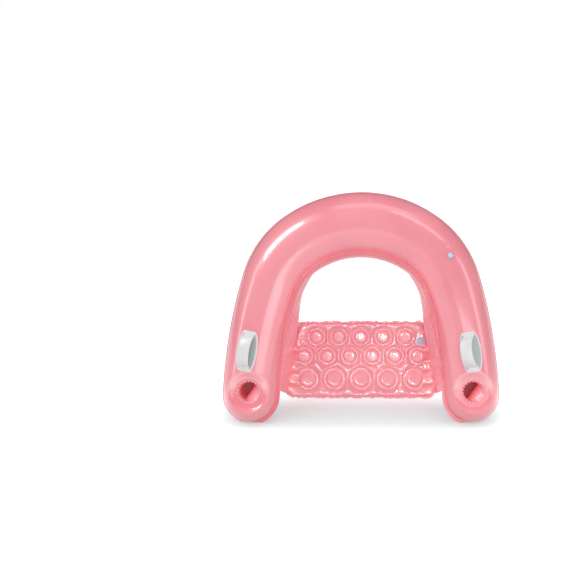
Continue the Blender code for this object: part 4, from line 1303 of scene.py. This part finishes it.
def seat_pad(look):
    """The blown-up seat: two sheets joined round the hem, with the valve's hole in the upper one."""
    mesh = bmesh.new()
    layers = mesh.verts.layers.float.new("weld"), mesh.verts.layers.float.new("held")
    upper = seat_side(mesh, layers, look.seat_pitch, -1, 1.0, look)
    lower = seat_side(mesh, layers, look.seat_pitch * 1.6, 1, UNDERSIDE_SHARE, look)
    for i in range(len(upper)):
        mesh.faces.new((upper[i - 1], upper[i], lower[i], lower[i - 1]))
    tidy(mesh, None)
    pad = bpy.data.meshes.new("seat_pad")
    mesh.to_mesh(pad)
    mesh.free()
    blow_up(pad, look)
    mesh = bmesh.new()
    mesh.from_mesh(pad)
    bpy.data.meshes.remove(pad)
    place = seat_valve_place()
    radii = VALVE_WELD_RADII + (VALVE_SEAT_RADIUS,)
    rings = [circle(place, ACROSS, UP, radius, VALVE_SIDES) for radius in radii]
    clear = VALVE_SEAT_RADIUS + look.seat_pitch * 0.4
    open_up(mesh, place, (ACROSS, UP, FRONT), clear, rings, 0.008)
    tidy(mesh, None)
    return as_mesh("seat_pad", mesh)


def web_sheet(side, look):
    """The single sheet that hangs one side of the seat, pulled into folds."""
    steps, columns = 120, 60
    rims = web_rims(side, steps)
    share = np.linspace(0, 1, steps + 1)
    edge_z = np.maximum(SEAT_BACK[1] - SEAT_LENGTH * share, SEAT_FRONT[1] + WEB_TUCK)
    inset = np.maximum(SEAT_CORNER - (edge_z - SEAT_FRONT[1]), 0)
    edge_x = side * (seat_half_width(share) - SEAT_CORNER + np.sqrt(SEAT_CORNER**2 - inset**2))
    level = seat_depth(edge_x, edge_z) - WEB_STAND_OFF
    foot = np.stack((edge_x + side * (SHEET + GAP), level, edge_z), 1)
    curl = smooth(1 - share / WEB_CURL_SHARE)
    rows = []
    for k in np.linspace(0, 1, columns + 1):
        inward = k * k + (1 - (1 - k) ** 2 - k * k) * curl
        row = rims + (foot - rims) * inward[:, None]
        row[:, 1] = WEB_WELD + (level - WEB_WELD) * k
        row[:, 2] = rims[:, 2] + (foot[:, 2] - rims[:, 2]) * k
        row[:, 0] -= side * web_folds(side, share, k, look)
        rows.append(row)
    rows = [rims + FRONT * WEB_WELD, rims] + rows
    rows.append(np.stack((edge_x + side * (SEAT_HEM - SHEET), level, edge_z), 1))
    points = np.stack(rows, 1)
    mesh = bmesh.new()
    layer = mesh.verts.layers.float.new("weld")
    for row in add_grid(mesh, points):
        for vert in row[:3] + row[-2:]:
            vert[layer] = SEAM_TONE
    tidy(mesh, (-side, 0, 0))
    return as_mesh("web", mesh, CREASE), points


def web_folds(side, share, k, look):
    """How far the web's folds stand towards the seat: long ones along the arm, a few fanned out."""
    free = math.sin(math.pi * k) ** 0.8
    total = 0.35 * ripple(share / 0.5, k / 0.35 + 0 * share, SEEDS["webs"] + side)
    for start, end, width, height in WEB_FOLDS[side]:
        place = (share - start[0]) / (end[0] - start[0])
        line = start[1] + (end[1] - start[1]) * np.clip(place, 0, 1)
        fade = np.exp(-((place - 0.5) ** 4) * 24)
        total = total + height * fade * bump((k - line) / width)
    return look.web_fold * free * total


def on_handle(side, along, across, lift):
    """Points over the tube's wall: along towards the arch, across towards the outside."""
    along, across, lift = np.broadcast_arrays(along, across, lift)
    cuts = straight_cuts(HALF_LENGTH - HANDLE_ALONG - along.ravel(), side)
    angle = QUARTER + HANDLE_TURNS[side] + across.ravel() / cuts.radius
    points = cuts.wall(angle[:, None], lift.ravel()[:, None])[:, 0]
    return points.reshape(*along.shape, 3)


def barrel(share):
    """Width of the barrel-shaped plate, with round corners, at a share of its half length."""
    width = PATCH_WIDTH - (PATCH_WIDTH - PATCH_END_WIDTH) * np.abs(share) ** PATCH_FULLNESS
    into = np.maximum(1 - (1 - np.abs(share)) * HANDLE_LENGTH / 2 / HANDLE_CORNER, 0)
    return width - 2 * HANDLE_CORNER * (1 - np.sqrt(np.maximum(1 - into * into, 0)))


def patch_lift():
    """Height of the plate's middle over the tube's wall, clear of its chords in the solids."""
    step = PATCH_WIDTH / 6 / ARM_RADIUS
    chord = ARM_RADIUS * (1 - math.cos(step / 2))
    return SHEET / 2 + GAP + chord + PATCH_THICKNESS / 2


def handle_patch(side):
    """A white plate on an arm, with its rim pressed down and its middle marked for painted shade under
    the strap.
    """
    share = np.sin(QUARTER * np.linspace(-1, 1, 81))[:, None]
    across = np.linspace(-0.5, 0.5, 31)[None, :]
    width = barrel(share)
    edge = np.maximum(np.abs(share) ** 6, np.abs(2 * across) ** 6)
    lift = patch_lift() - PATCH_RIM_DROP * smooth((edge - 0.55) / 0.2)
    # Painted shade: the hollow attribute marks the plate's middle, under the strap, to be darkened.
    beside = 0.5 * width - np.abs(across * width) - STRAP_SHADE_RIM
    beyond = (STRAP_SHADE_SHARE - np.abs(share)) * HANDLE_LENGTH / 2
    hollow = smooth(np.minimum(beside, beyond) / STRAP_SHADE_FADE)
    mesh = bmesh.new()
    layer = mesh.verts.layers.float.new("hollow")
    points = on_handle(side, share * HANDLE_LENGTH / 2, across * width, lift)
    for row, tones in zip(add_grid(mesh, points), hollow):
        for vert, tone in zip(row, tones):
            vert[layer] = tone
    tidy(mesh, FRONT)
    return thicken("handle_patch", as_mesh("handle_patch", mesh), PATCH_THICKNESS, PATCH_BEVEL)


def strap_arch(share):
    """Height of a strap's arch, from 0 on its landings to 1, at a share of its half length."""
    reach = 1 - 2 * STRAP_LAND / HANDLE_LENGTH
    inner = np.minimum(np.abs(share) / reach, 1)
    return (1 - inner**STRAP_SHARPNESS) ** STRAP_FULLNESS


def handle_strap(side, look):
    """A strap arched over its plate, with faint ribs along it."""
    share = np.sin(QUARTER * np.linspace(-1, 1, 81))[:, None]
    across = np.linspace(-0.5, 0.5, 25)[None, :]
    arch = strap_arch(share)
    width = STRAP_END_WIDTH + (STRAP_WIDTH - STRAP_END_WIDTH) * arch
    width = width * (1 - STRAP_WAIST * arch)
    shift = STRAP_SHIFTS[side] * arch
    top = patch_lift() + PATCH_THICKNESS / 2
    lift = top + GAP + STRAP_THICKNESS / 2 + STRAP_HEIGHT * arch
    crown = (1 - (2 * across) ** 2) * STRAP_THICKNESS * arch
    ribs = look.strap_rib * np.cos(across * STRAP_RIBS * 2 * math.pi)
    ribs = ribs * smooth((0.5 - np.abs(across)) / 0.08) * arch
    along = share * (HANDLE_LENGTH / 2 - STRAP_INSET)
    mesh = bmesh.new()
    add_grid(mesh, on_handle(side, along, across * width + shift, lift + crown + ribs))
    tidy(mesh, FRONT)
    return thicken("handle_strap", as_mesh("handle_strap", mesh), STRAP_THICKNESS, STRAP_BEVEL)


def slump(shape, mouth):
    """Lays one side of a pocket's limp sleeve inwards, as the air round it presses it, and paints shade
    into its weld attribute, darker deeper down.
    """
    points = np.zeros(len(shape.vertices) * 3, np.float32)
    shape.vertices.foreach_get("co", points)
    points = points.reshape(-1, 3)
    away = points - mouth
    depth = np.clip(away[:, 1] / CUP_DEPTH, 0, 1)
    limit = CUP_WELD_RADIUS - (CUP_WELD_RADIUS - SLUMP_CORE) * np.sin(math.pi * depth**0.85)
    over = (away @ SLUMP_WAY - limit) / SLUMP_ROUND
    push = SLUMP_ROUND * np.logaddexp(0, over) * smooth(depth / 0.06) * (depth < 0.999)
    points -= push[:, None] * SLUMP_WAY
    shape.vertices.foreach_set("co", points.ravel())
    # Painted shade: the sleeve darkens with depth through the weld attribute, where the pocket's shadow
    # falls.
    tone = smooth((depth - 0.1) / 0.35)
    shape.attributes.new("weld", "FLOAT", "POINT").data.foreach_set("value", tone)


def turned_piece(name, profile, place, normal, values):
    """A turned shape at a place; a point has a radius, a depth against the normal and a fold."""
    line = line_mesh(name, [(p[0], 0, -p[1]) for p in profile], [p[2] for p in profile])
    shape = grown(name, line, TREES["turned"], values)
    first, second, axis = (Vector(v) for v in frame_of(normal))
    turn = Matrix((first, second, axis)).transposed().to_4x4()
    shape.transform(Matrix.Translation(Vector(place)) @ turn)
    return shape


TREES = {}
FINISHES = {}


def amount(name, description, default, **kind):
    """A setting that is a plain number, or a number of the given kind."""
    return bpy.props.FloatProperty(name=name, description=description, default=default, **kind)


def length(name, description, default):
    """A setting that is a length."""
    return amount(name, description, default, unit="LENGTH")


def power(name, description, default):
    """A setting that is a lamp's power."""
    return amount(name, description, default, unit="POWER")


def factor(name, description, default):
    """A setting that is a share."""
    return amount(name, description, default, subtype="FACTOR")


def count(name, description, default):
    """A setting that is a whole number."""
    return bpy.props.IntProperty(name=name, description=description, default=default)


def tint(name, description, default):
    """A setting that is a colour."""
    look = {"default": default, "subtype": "COLOR"}
    return bpy.props.FloatVectorProperty(name=name, description=description, **look)


class PoolChairTube(bpy.types.PropertyGroup):
    """Detail of the tube's skins."""

    skin_pitch: length("Skin Pitch", "Distance between points of the skins", 0.0042)
    pucker_height: length("Gather Depth", "Depth of the gathers at the seams", 0.0016)
    pucker_pitch: length("Gather Pitch", "Distance from gather to gather", 0.021)
    pucker_reach: length("Gather Reach", "How far the gathers run from the seam", 0.017)
    weld_pull: length("Weld Pull", "How far the weld draws the skins out", 0.0016)
    weld_pull_reach: length("Weld Pull Reach", "Reach of the weld's pull", 0.0028)
    swell_height: length("Swell", "Height of the tube's slight unevenness", 0.0007)
    flange_sway: length("Flange Sway", "Bend of the free weld flange", 0.0012)
    cup_gather: length("Pocket Gather", "Height of the gathers round a pocket's weld", 0.0006)


class PoolChairSeat(bpy.types.PropertyGroup):
    """Detail of the slung seat and its webs."""

    seat_pitch: length("Sheet Pitch", "Distance between points of the seat", 0.0027)
    seat_steps: count("Steps", "Steps that the seat is blown up in", 16)
    seat_pressure: amount("Pressure", "Air pressure in the seat", 3.0)
    seat_spare: factor("Spare Cloth", "Spare length of the seat's sheets", 0.03)
    seat_stiffness: amount("Stiffness", "Bending stiffness", 0.05)
    seat_reach: length("Fold Reach", "Farthest that a point may move", 0.006)
    ring_step: factor("Ring Step", "Share of a ring's radius taken by its lip", 0.25)
    ring_lip: length("Ring Lip", "Height of the ridge inside a ring weld", 0.0045)
    dome_fullness: amount("Dome Fullness", "How flat the domes' tops are over their steep flanks", 5.0)
    dome_tilt: factor("Dome Tilt", "How much of their lean the domes get", 1.0)
    ring_foot: length("Dome Foot", "Height of the crease round a ring's dome", 0.0030)
    seat_wrinkle: length("Seat Wrinkle", "Height of the wrinkles between the rings", 0.0008)
    hem_ruffle: length("Hem Ruffle", "Height of the hem's ruffle", 0.0026)
    hem_ragged: factor("Hem Unevenness", "How unevenly the hem is cut", 0.5)
    web_fold: length("Web Fold", "Depth of the folds in the side webs", 0.0022)


class PoolChairFittings(bpy.types.PropertyGroup):
    """Detail of the pockets, handles and valves."""

    pleats: count("Pleats", "Pleats round a cup pocket", 18)
    pleat_height: length("Pleat Height", "Height of a pocket's pleats", 0.0022)
    strap_rib: length("Strap Rib", "Height of the ribs along a handle strap", 0.0002)
    ridges: count("Plug Ridges", "Grip ridges round a plug", 24)


class PoolChairColours(bpy.types.PropertyGroup):
    """Colours of the chair's plastics."""

    # A painted glow: emission that brightens all the vinyl, though no lamp is there.
    painted_glow: amount("Inner Light", "Light that the blown-up vinyl passes on from inside", 0.08)
    tube: tint("Tube", "Vinyl of the tube", (0.9, 0.285, 0.335))
    # The seat, the webs and the pockets are lighter copies of the tube's pink: painted light that lifts
    # them out of the shade they sit in.
    seat: tint("Seat", "Vinyl of the seat", (0.88, 0.37, 0.42))
    web: tint("Webs", "Vinyl of the side webs", (0.9, 0.35, 0.40))
    cup: tint("Pockets", "Vinyl of the cup pockets", (0.92, 0.38, 0.43))
    handle: tint("Handles", "Moulded vinyl of the handles", (0.86, 0.86, 0.87))
    valve: tint("Valves", "Soft plastic of the valves", (0.58, 0.78, 0.95))


class PoolChairStage(bpy.types.PropertyGroup):
    """Floor, lights and camera."""

    key_power: power("Key Light", "Upper left light", 4.6)
    top_power: power("Top Light", "Overhead light", 6.0)
    streak_power: power("Streak", "Lamp that the shoulder mirrors", 40.0)
    window_power: power("Window", "Tall lamp that the arms mirror", 14.0)
    shoulder_power: power("Shoulder", "Lamp that the other shoulder mirrors", 5.0)
    edge_power: power("Edges", "Lamps that the arms' outer sides mirror", 6.0)
    seat_power: power("Seat Light", "Low lamp that opens the shade on the seat", 12.0)
    glint_power: power("Glints", "Small lamps that the seat mirrors", 26.0)
    front: amount("Front Wall", "Brightness behind the camera", 1.12)
    back: amount("Back Wall", "Brightness behind the chair", 0.6)
    ceiling: amount("Ceiling", "Brightness overhead", 0.6)
    mirrored: amount("Mirrored Front", "Front as the gloss shows it", 0.55)
    mirrored_back: amount("Mirrored Back", "Back as the gloss shows it", 0.2)


class POOLCHAIR_OT_prepare(bpy.types.Operator):
    """Mixes the finishes and writes the geometry trees that the pieces share"""

    bl_idname = "poolchair.prepare"
    bl_label = "Prepare Finishes"

    def execute(self, context):
        tints = context.scene.pool_chair_colours
        # Painted glow: the back skin, the webs and the pockets get more of it, and the pocket floor
        # gets none.
        glow = tints.painted_glow
        # The pocket floor is a darker copy of the pocket vinyl: painted shade at the bottom of the
        # pocket.
        shaded_pocket_tint = [0.58 * channel for channel in tints.cup]
        FINISHES["front"] = vinyl("glossy front vinyl", tints.tube, 0.24, glow)
        FINISHES["back"] = vinyl("glossy back vinyl", tints.tube, 0.24, 1.6 * glow, wave=0.1)
        FINISHES["seat"] = vinyl("seat vinyl", tints.seat, 0.2, glow, depth=0.5, wave=0.1)
        FINISHES["web"] = vinyl("web vinyl", tints.web, 0.3, 1.6 * glow, wave=0.03, clear=0.3)
        FINISHES["cup"] = vinyl("pocket vinyl", tints.cup, 0.34, 1.4 * glow, depth=0.3, clear=0.2)
        FINISHES["floor"] = vinyl("pocket floor vinyl", shaded_pocket_tint, 0.5, 0.0, clear=0.0)
        FINISHES["handle"] = moulded("handle white", tints.handle, 0.36)
        FINISHES["valve"] = moulded("valve plastic", tints.valve, 0.24)
        TREES["turned"] = turned_tree()
        return {"FINISHED"}


class POOLCHAIR_OT_tube(bpy.types.Operator):
    """Makes the tube's two skins"""

    bl_idname = "poolchair.tube"
    bl_label = "Tube"

    def execute(self, context):
        look = context.scene.pool_chair_tube
        for place, skin in (("front", front_skin), ("back", back_skin)):
            name = "tube_" + place
            mesh = thicken(name, skin(look), SHEET)
            piece = show(name, mesh, FINISHES[place], [name + "_sheet"])
        return {"FINISHED"}


class POOLCHAIR_OT_seat(bpy.types.Operator):
    """Makes the blown-up seat with its rings of welds"""

    bl_idname = "poolchair.seat"
    bl_label = "Seat"

    def execute(self, context):
        look = context.scene.pool_chair_seat
        sheets = ["seat_top_sheet", "seat_bottom_sheet"]
        seat = show("seat", seat_pad(look), FINISHES["seat"], sheets)
        return {"FINISHED"}


class POOLCHAIR_OT_webs(bpy.types.Operator):
    """Makes the two sheets that hang the seat from the arms"""

    bl_idname = "poolchair.webs"
    bl_label = "Side Webs"

    def execute(self, context):
        look = context.scene.pool_chair_seat
        for side, label in SIDES:
            mesh, points = web_sheet(side, look)
            area = sum(face.area for face in mesh.polygons)
            across = float(np.linalg.norm(np.diff(points, axis=1), axis=2).sum(1).max())
            weld = float(np.linalg.norm(np.diff(points[:, 0], axis=0), axis=1).sum())
            flat = (across, max(weld, area / across))
            web = thicken("web", mesh, SHEET)
            web = show("web_" + label, web, FINISHES["web"], ["seat_web_" + label])
            area = min(area, flat[0] * flat[1])
        return {"FINISHED"}


class POOLCHAIR_OT_pockets(bpy.types.Operator):
    """Makes the pleated cup pockets and their floors"""

    bl_idname = "poolchair.pockets"
    bl_label = "Cup Pockets"

    def execute(self, context):
        look = context.scene.pool_chair_fittings
        foot = CUP_DEPTH - SHEET / 2
        profile = [(CUP_WELD_RADIUS, 0, 0), (CUP_MOUTH_RADIUS, 0, 0)]
        for share in FUNNEL_SHARES:
            radius = CUP_MOUTH_RADIUS + (CUP_WALL_RADIUS - CUP_MOUTH_RADIUS) * share**FUNNEL_BEND
            profile.append((radius, CUP_FUNNEL_DEPTH * share, min(1.0, 4 * share)))
        for share in np.linspace(0.06, 1, 16):
            depth = CUP_FUNNEL_DEPTH + (foot - CUP_FUNNEL_DEPTH) * share
            profile.append((CUP_WALL_RADIUS, depth, 1 - share))
        profile += [(CUP_WALL_RADIUS - 0.004, foot, 0), (CUP_FOOT_RADIUS, foot, 0)]
        values = {
            "Sides": PLEAT_SIDES,
            "Folds": look.pleats,
            "Fold Height": look.pleat_height,
            "Sharpness": PLEAT_SHARPNESS,
            "Finish": FINISHES["cup"],
        }
        for side, label in SIDES:
            mouth = CUP_MIDDLES[side] + FRONT * (CUP_LEVEL - SHEET - GAP)
            name = "cup_pocket_" + label
            shape = turned_piece(name, profile, mouth, FRONT, values)
            slump(shape, mouth)
            shape.transform(CHAIR)
            wall = thicken(name, shape, SHEET)
            show(name, wall, FINISHES["cup"], ["cup_sleeve_" + label])
            # Painted shade: the pocket's floor takes the darker copy of the pocket vinyl.
            dress(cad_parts["cup_floor_" + label].data, FINISHES["floor"])
        return {"FINISHED"}


class POOLCHAIR_OT_handles(bpy.types.Operator):
    """Makes the handle plates and their straps"""

    bl_idname = "poolchair.handles"
    bl_label = "Handles"

    def execute(self, context):
        look = context.scene.pool_chair_fittings
        for side, label in SIDES:
            for name, mesh, node in (
                ("handle_plate_", handle_patch(side), "handle_patch_"),
                ("handle_grip_", handle_strap(side, look), "handle_strap_"),
            ):
                show(name + label, mesh, FINISHES["handle"], [node + label])
        return {"FINISHED"}


class POOLCHAIR_OT_valves(bpy.types.Operator):
    """Finishes the two valves"""

    bl_idname = "poolchair.valves"
    bl_label = "Valves"

    def execute(self, context):
        for name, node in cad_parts.items():
            if "valve" in name:
                dress(node.data, FINISHES["valve"])
        return {"FINISHED"}


class POOLCHAIR_OT_stage(bpy.types.Operator):
    """Sets the floor, the soft lights and the camera"""

    bl_idname = "poolchair.stage"
    bl_label = "Stage"

    def execute(self, context):
        look = context.scene.pool_chair_stage
        scene = context.scene
        scene.view_settings.view_transform = "Standard"
        lay_floor()
        light_up(look)
        set_camera(scene)
        return {"FINISHED"}


def lay_floor():
    """A wide white floor that stays white to the camera away from the chair and keeps the chair's
    shadow; near the line between the feet its white fades out, which paints a soft shadow band there,
    and its colour is tinted cyan there to cancel the chair's pink bounce light.
    """
    mesh = bmesh.new()
    bmesh.ops.create_grid(mesh, x_segments=24, y_segments=24, size=FLOOR_SIZE)
    data = bpy.data.meshes.new("floor")
    mesh.to_mesh(data)
    mesh.free()
    floor = carried("floor", data)
    material, graph, shader = new_finish("white floor")
    place = graph.node("ShaderNodeTexCoord", output=3)
    across = graph.node("ShaderNodeSeparateXYZ", None, {0: place})
    along = across.named(1)
    beyond = (across.maths("ABSOLUTE") - STANCE_HALF_WIDTH).maths("MAXIMUM", 0.0)
    ahead = along + STANCE_FRONT
    reach = (beyond * beyond + ahead * ahead) ** 0.5
    # A cyan tint near the stance, painted to cancel the chair's pink bounce light.
    anti_bounce_tint = graph.mix(graph.noise(place, 2.0, 2.0), (0.65, 0.87, 0.86, 1), (0.67, 0.89, 0.88, 1))
    # The camera's white fades out near the line between the feet: a painted shadow band.
    glow = graph.mix(graph.band(reach, 0.04, 0.38), (0.225, 0.225, 0.23, 1), WHITE)
    seen = graph.node("ShaderNodeLightPath")
    mirrored = seen.named("Is Glossy Ray") * (1 - 0.8 * graph.band(along, 0.0, 0.4))
    sockets = {
        "Base Color": graph.mix(graph.band(reach, 0.05, 0.4), anti_bounce_tint, (0.80, 0.80, 0.80, 1)),
        "Roughness": 0.9,
        "Specular IOR Level": 0.0,
        "Emission Color": graph.mix(seen.maths("MAXIMUM", mirrored), BLACK, glow),
        "Emission Strength": 1.0,
    }
    graph.feed(shader, sockets)
    data.materials.append(material)


def light_up(look):
    """A white studio, soft lamps overhead, and strips that only the vinyl's gloss picks up."""
    world = bpy.data.worlds.new("studio")
    bpy.context.scene.world = world
    world.use_nodes = True
    graph = Graph(world.node_tree)
    way = graph.node("ShaderNodeTexCoord")
    depth = graph.node("ShaderNodeSeparateXYZ", None, {0: way}, 1)
    front, back, ceiling, mirrored, mirrored_back = (
        colour((value,) * 3)
        for value in (look.front, look.back, look.ceiling, look.mirrored, look.mirrored_back)
    )
    room = graph.mix(graph.band(depth, -0.3, 0.4), front, back)
    room = graph.mix(graph.band(depth.named(2), 0.55, 0.85), room, ceiling)
    gloss = graph.mix(graph.band(depth, -0.2, 0.3), mirrored, mirrored_back)
    seen = graph.node("ShaderNodeLightPath")
    room = graph.mix(seen.named("Is Glossy Ray"), room, gloss)
    background = world.node_tree.nodes["Background"]
    graph.feed(background, {"Color": graph.mix(seen, room, WHITE)})
    for lamp in ROOM_LAMPS:
        soft_light(look, *lamp)
    seat = bpy.data.collections.new("glinting")
    for name in ("seat", "web_left", "web_right"):
        seat.objects.link(bpy.data.objects[name])
    for lamp in SEAT_LAMPS:
        soft_light(look, *lamp).light_linking.receiver_collection = seat


def soft_light(look, name, setting, share, way, run, size, broad):
    """A rectangular lamp: a broad one lights the chair, any other only shines in its gloss."""
    lamp = bpy.data.lights.new(name, "AREA")
    lamp.shape, lamp.energy = "RECTANGLE", share * getattr(look, setting)
    lamp.size, lamp.size_y = size
    holder = carried(name, lamp)
    back = Vector(way).normalized()
    side = (Vector(run) - back * Vector(run).dot(back)).normalized()
    turn = Matrix((side, back.cross(side), back)).transposed().to_4x4()
    place = Vector((0, 0, LAMP_HEIGHT)) + back * LAMP_DISTANCE
    holder.matrix_world = Matrix.Translation(place) @ turn
    holder.visible_diffuse = holder.visible_transmission = broad
    if not broad:
        lamp.cycles.max_bounces = 1
    return holder


def set_camera(scene):
    """Looks at the chair from the front, square to the plane of its tube."""
    data = bpy.data.cameras.new("view")
    data.lens, data.sensor_width = CAMERA_LENS, 36
    data.shift_x, data.shift_y = CAMERA_SHIFT
    camera = carried("view", data)
    place = CHAIR @ Vector((0, -CAMERA_DISTANCE, CAMERA_HEIGHT))
    aim = CHAIR @ Vector((0, 0, CAMERA_HEIGHT))
    camera.location = place
    camera.rotation_euler = (aim - place).to_track_quat("-Z", "Y").to_euler()
    scene.camera = camera


OPERATORS = (
    POOLCHAIR_OT_prepare,
    POOLCHAIR_OT_tube,
    POOLCHAIR_OT_seat,
    POOLCHAIR_OT_webs,
    POOLCHAIR_OT_pockets,
    POOLCHAIR_OT_handles,
    POOLCHAIR_OT_valves,
    POOLCHAIR_OT_stage,
)
GROUPS = {
    "pool_chair_tube": PoolChairTube,
    "pool_chair_seat": PoolChairSeat,
    "pool_chair_fittings": PoolChairFittings,
    "pool_chair_colours": PoolChairColours,
    "pool_chair_stage": PoolChairStage,
}


class POOLCHAIR_PT_panel(bpy.types.Panel):
    """Lists the chair's pieces and their settings"""

    bl_label = "Pool Chair"
    bl_idname = "POOLCHAIR_PT_panel"
    bl_space_type = "VIEW_3D"
    bl_region_type = "UI"
    bl_category = "Pool Chair"

    def draw(self, context):
        for operator in OPERATORS:
            self.layout.operator(operator.bl_idname)
        for name, group in GROUPS.items():
            box = self.layout.box()
            for setting in group.bl_rna.properties:
                if setting.identifier not in ("rna_type", "name"):
                    box.prop(getattr(context.scene, name), setting.identifier)


def register():
    for group in GROUPS.values():
        bpy.utils.register_class(group)
    for name, group in GROUPS.items():
        setattr(bpy.types.Scene, name, bpy.props.PointerProperty(type=group))
    for operator in OPERATORS:
        bpy.utils.register_class(operator)
    bpy.utils.register_class(POOLCHAIR_PT_panel)


def unregister():
    bpy.utils.unregister_class(POOLCHAIR_PT_panel)
    for operator in reversed(OPERATORS):
        bpy.utils.unregister_class(operator)
    for name in GROUPS:
        delattr(bpy.types.Scene, name)
    for group in reversed(list(GROUPS.values())):
        bpy.utils.unregister_class(group)


def main():
    register()
    for operator in OPERATORS:
        family, name = operator.bl_idname.split(".")
        getattr(getattr(bpy.ops, family), name)()


if __name__ == "__main__":
    main()
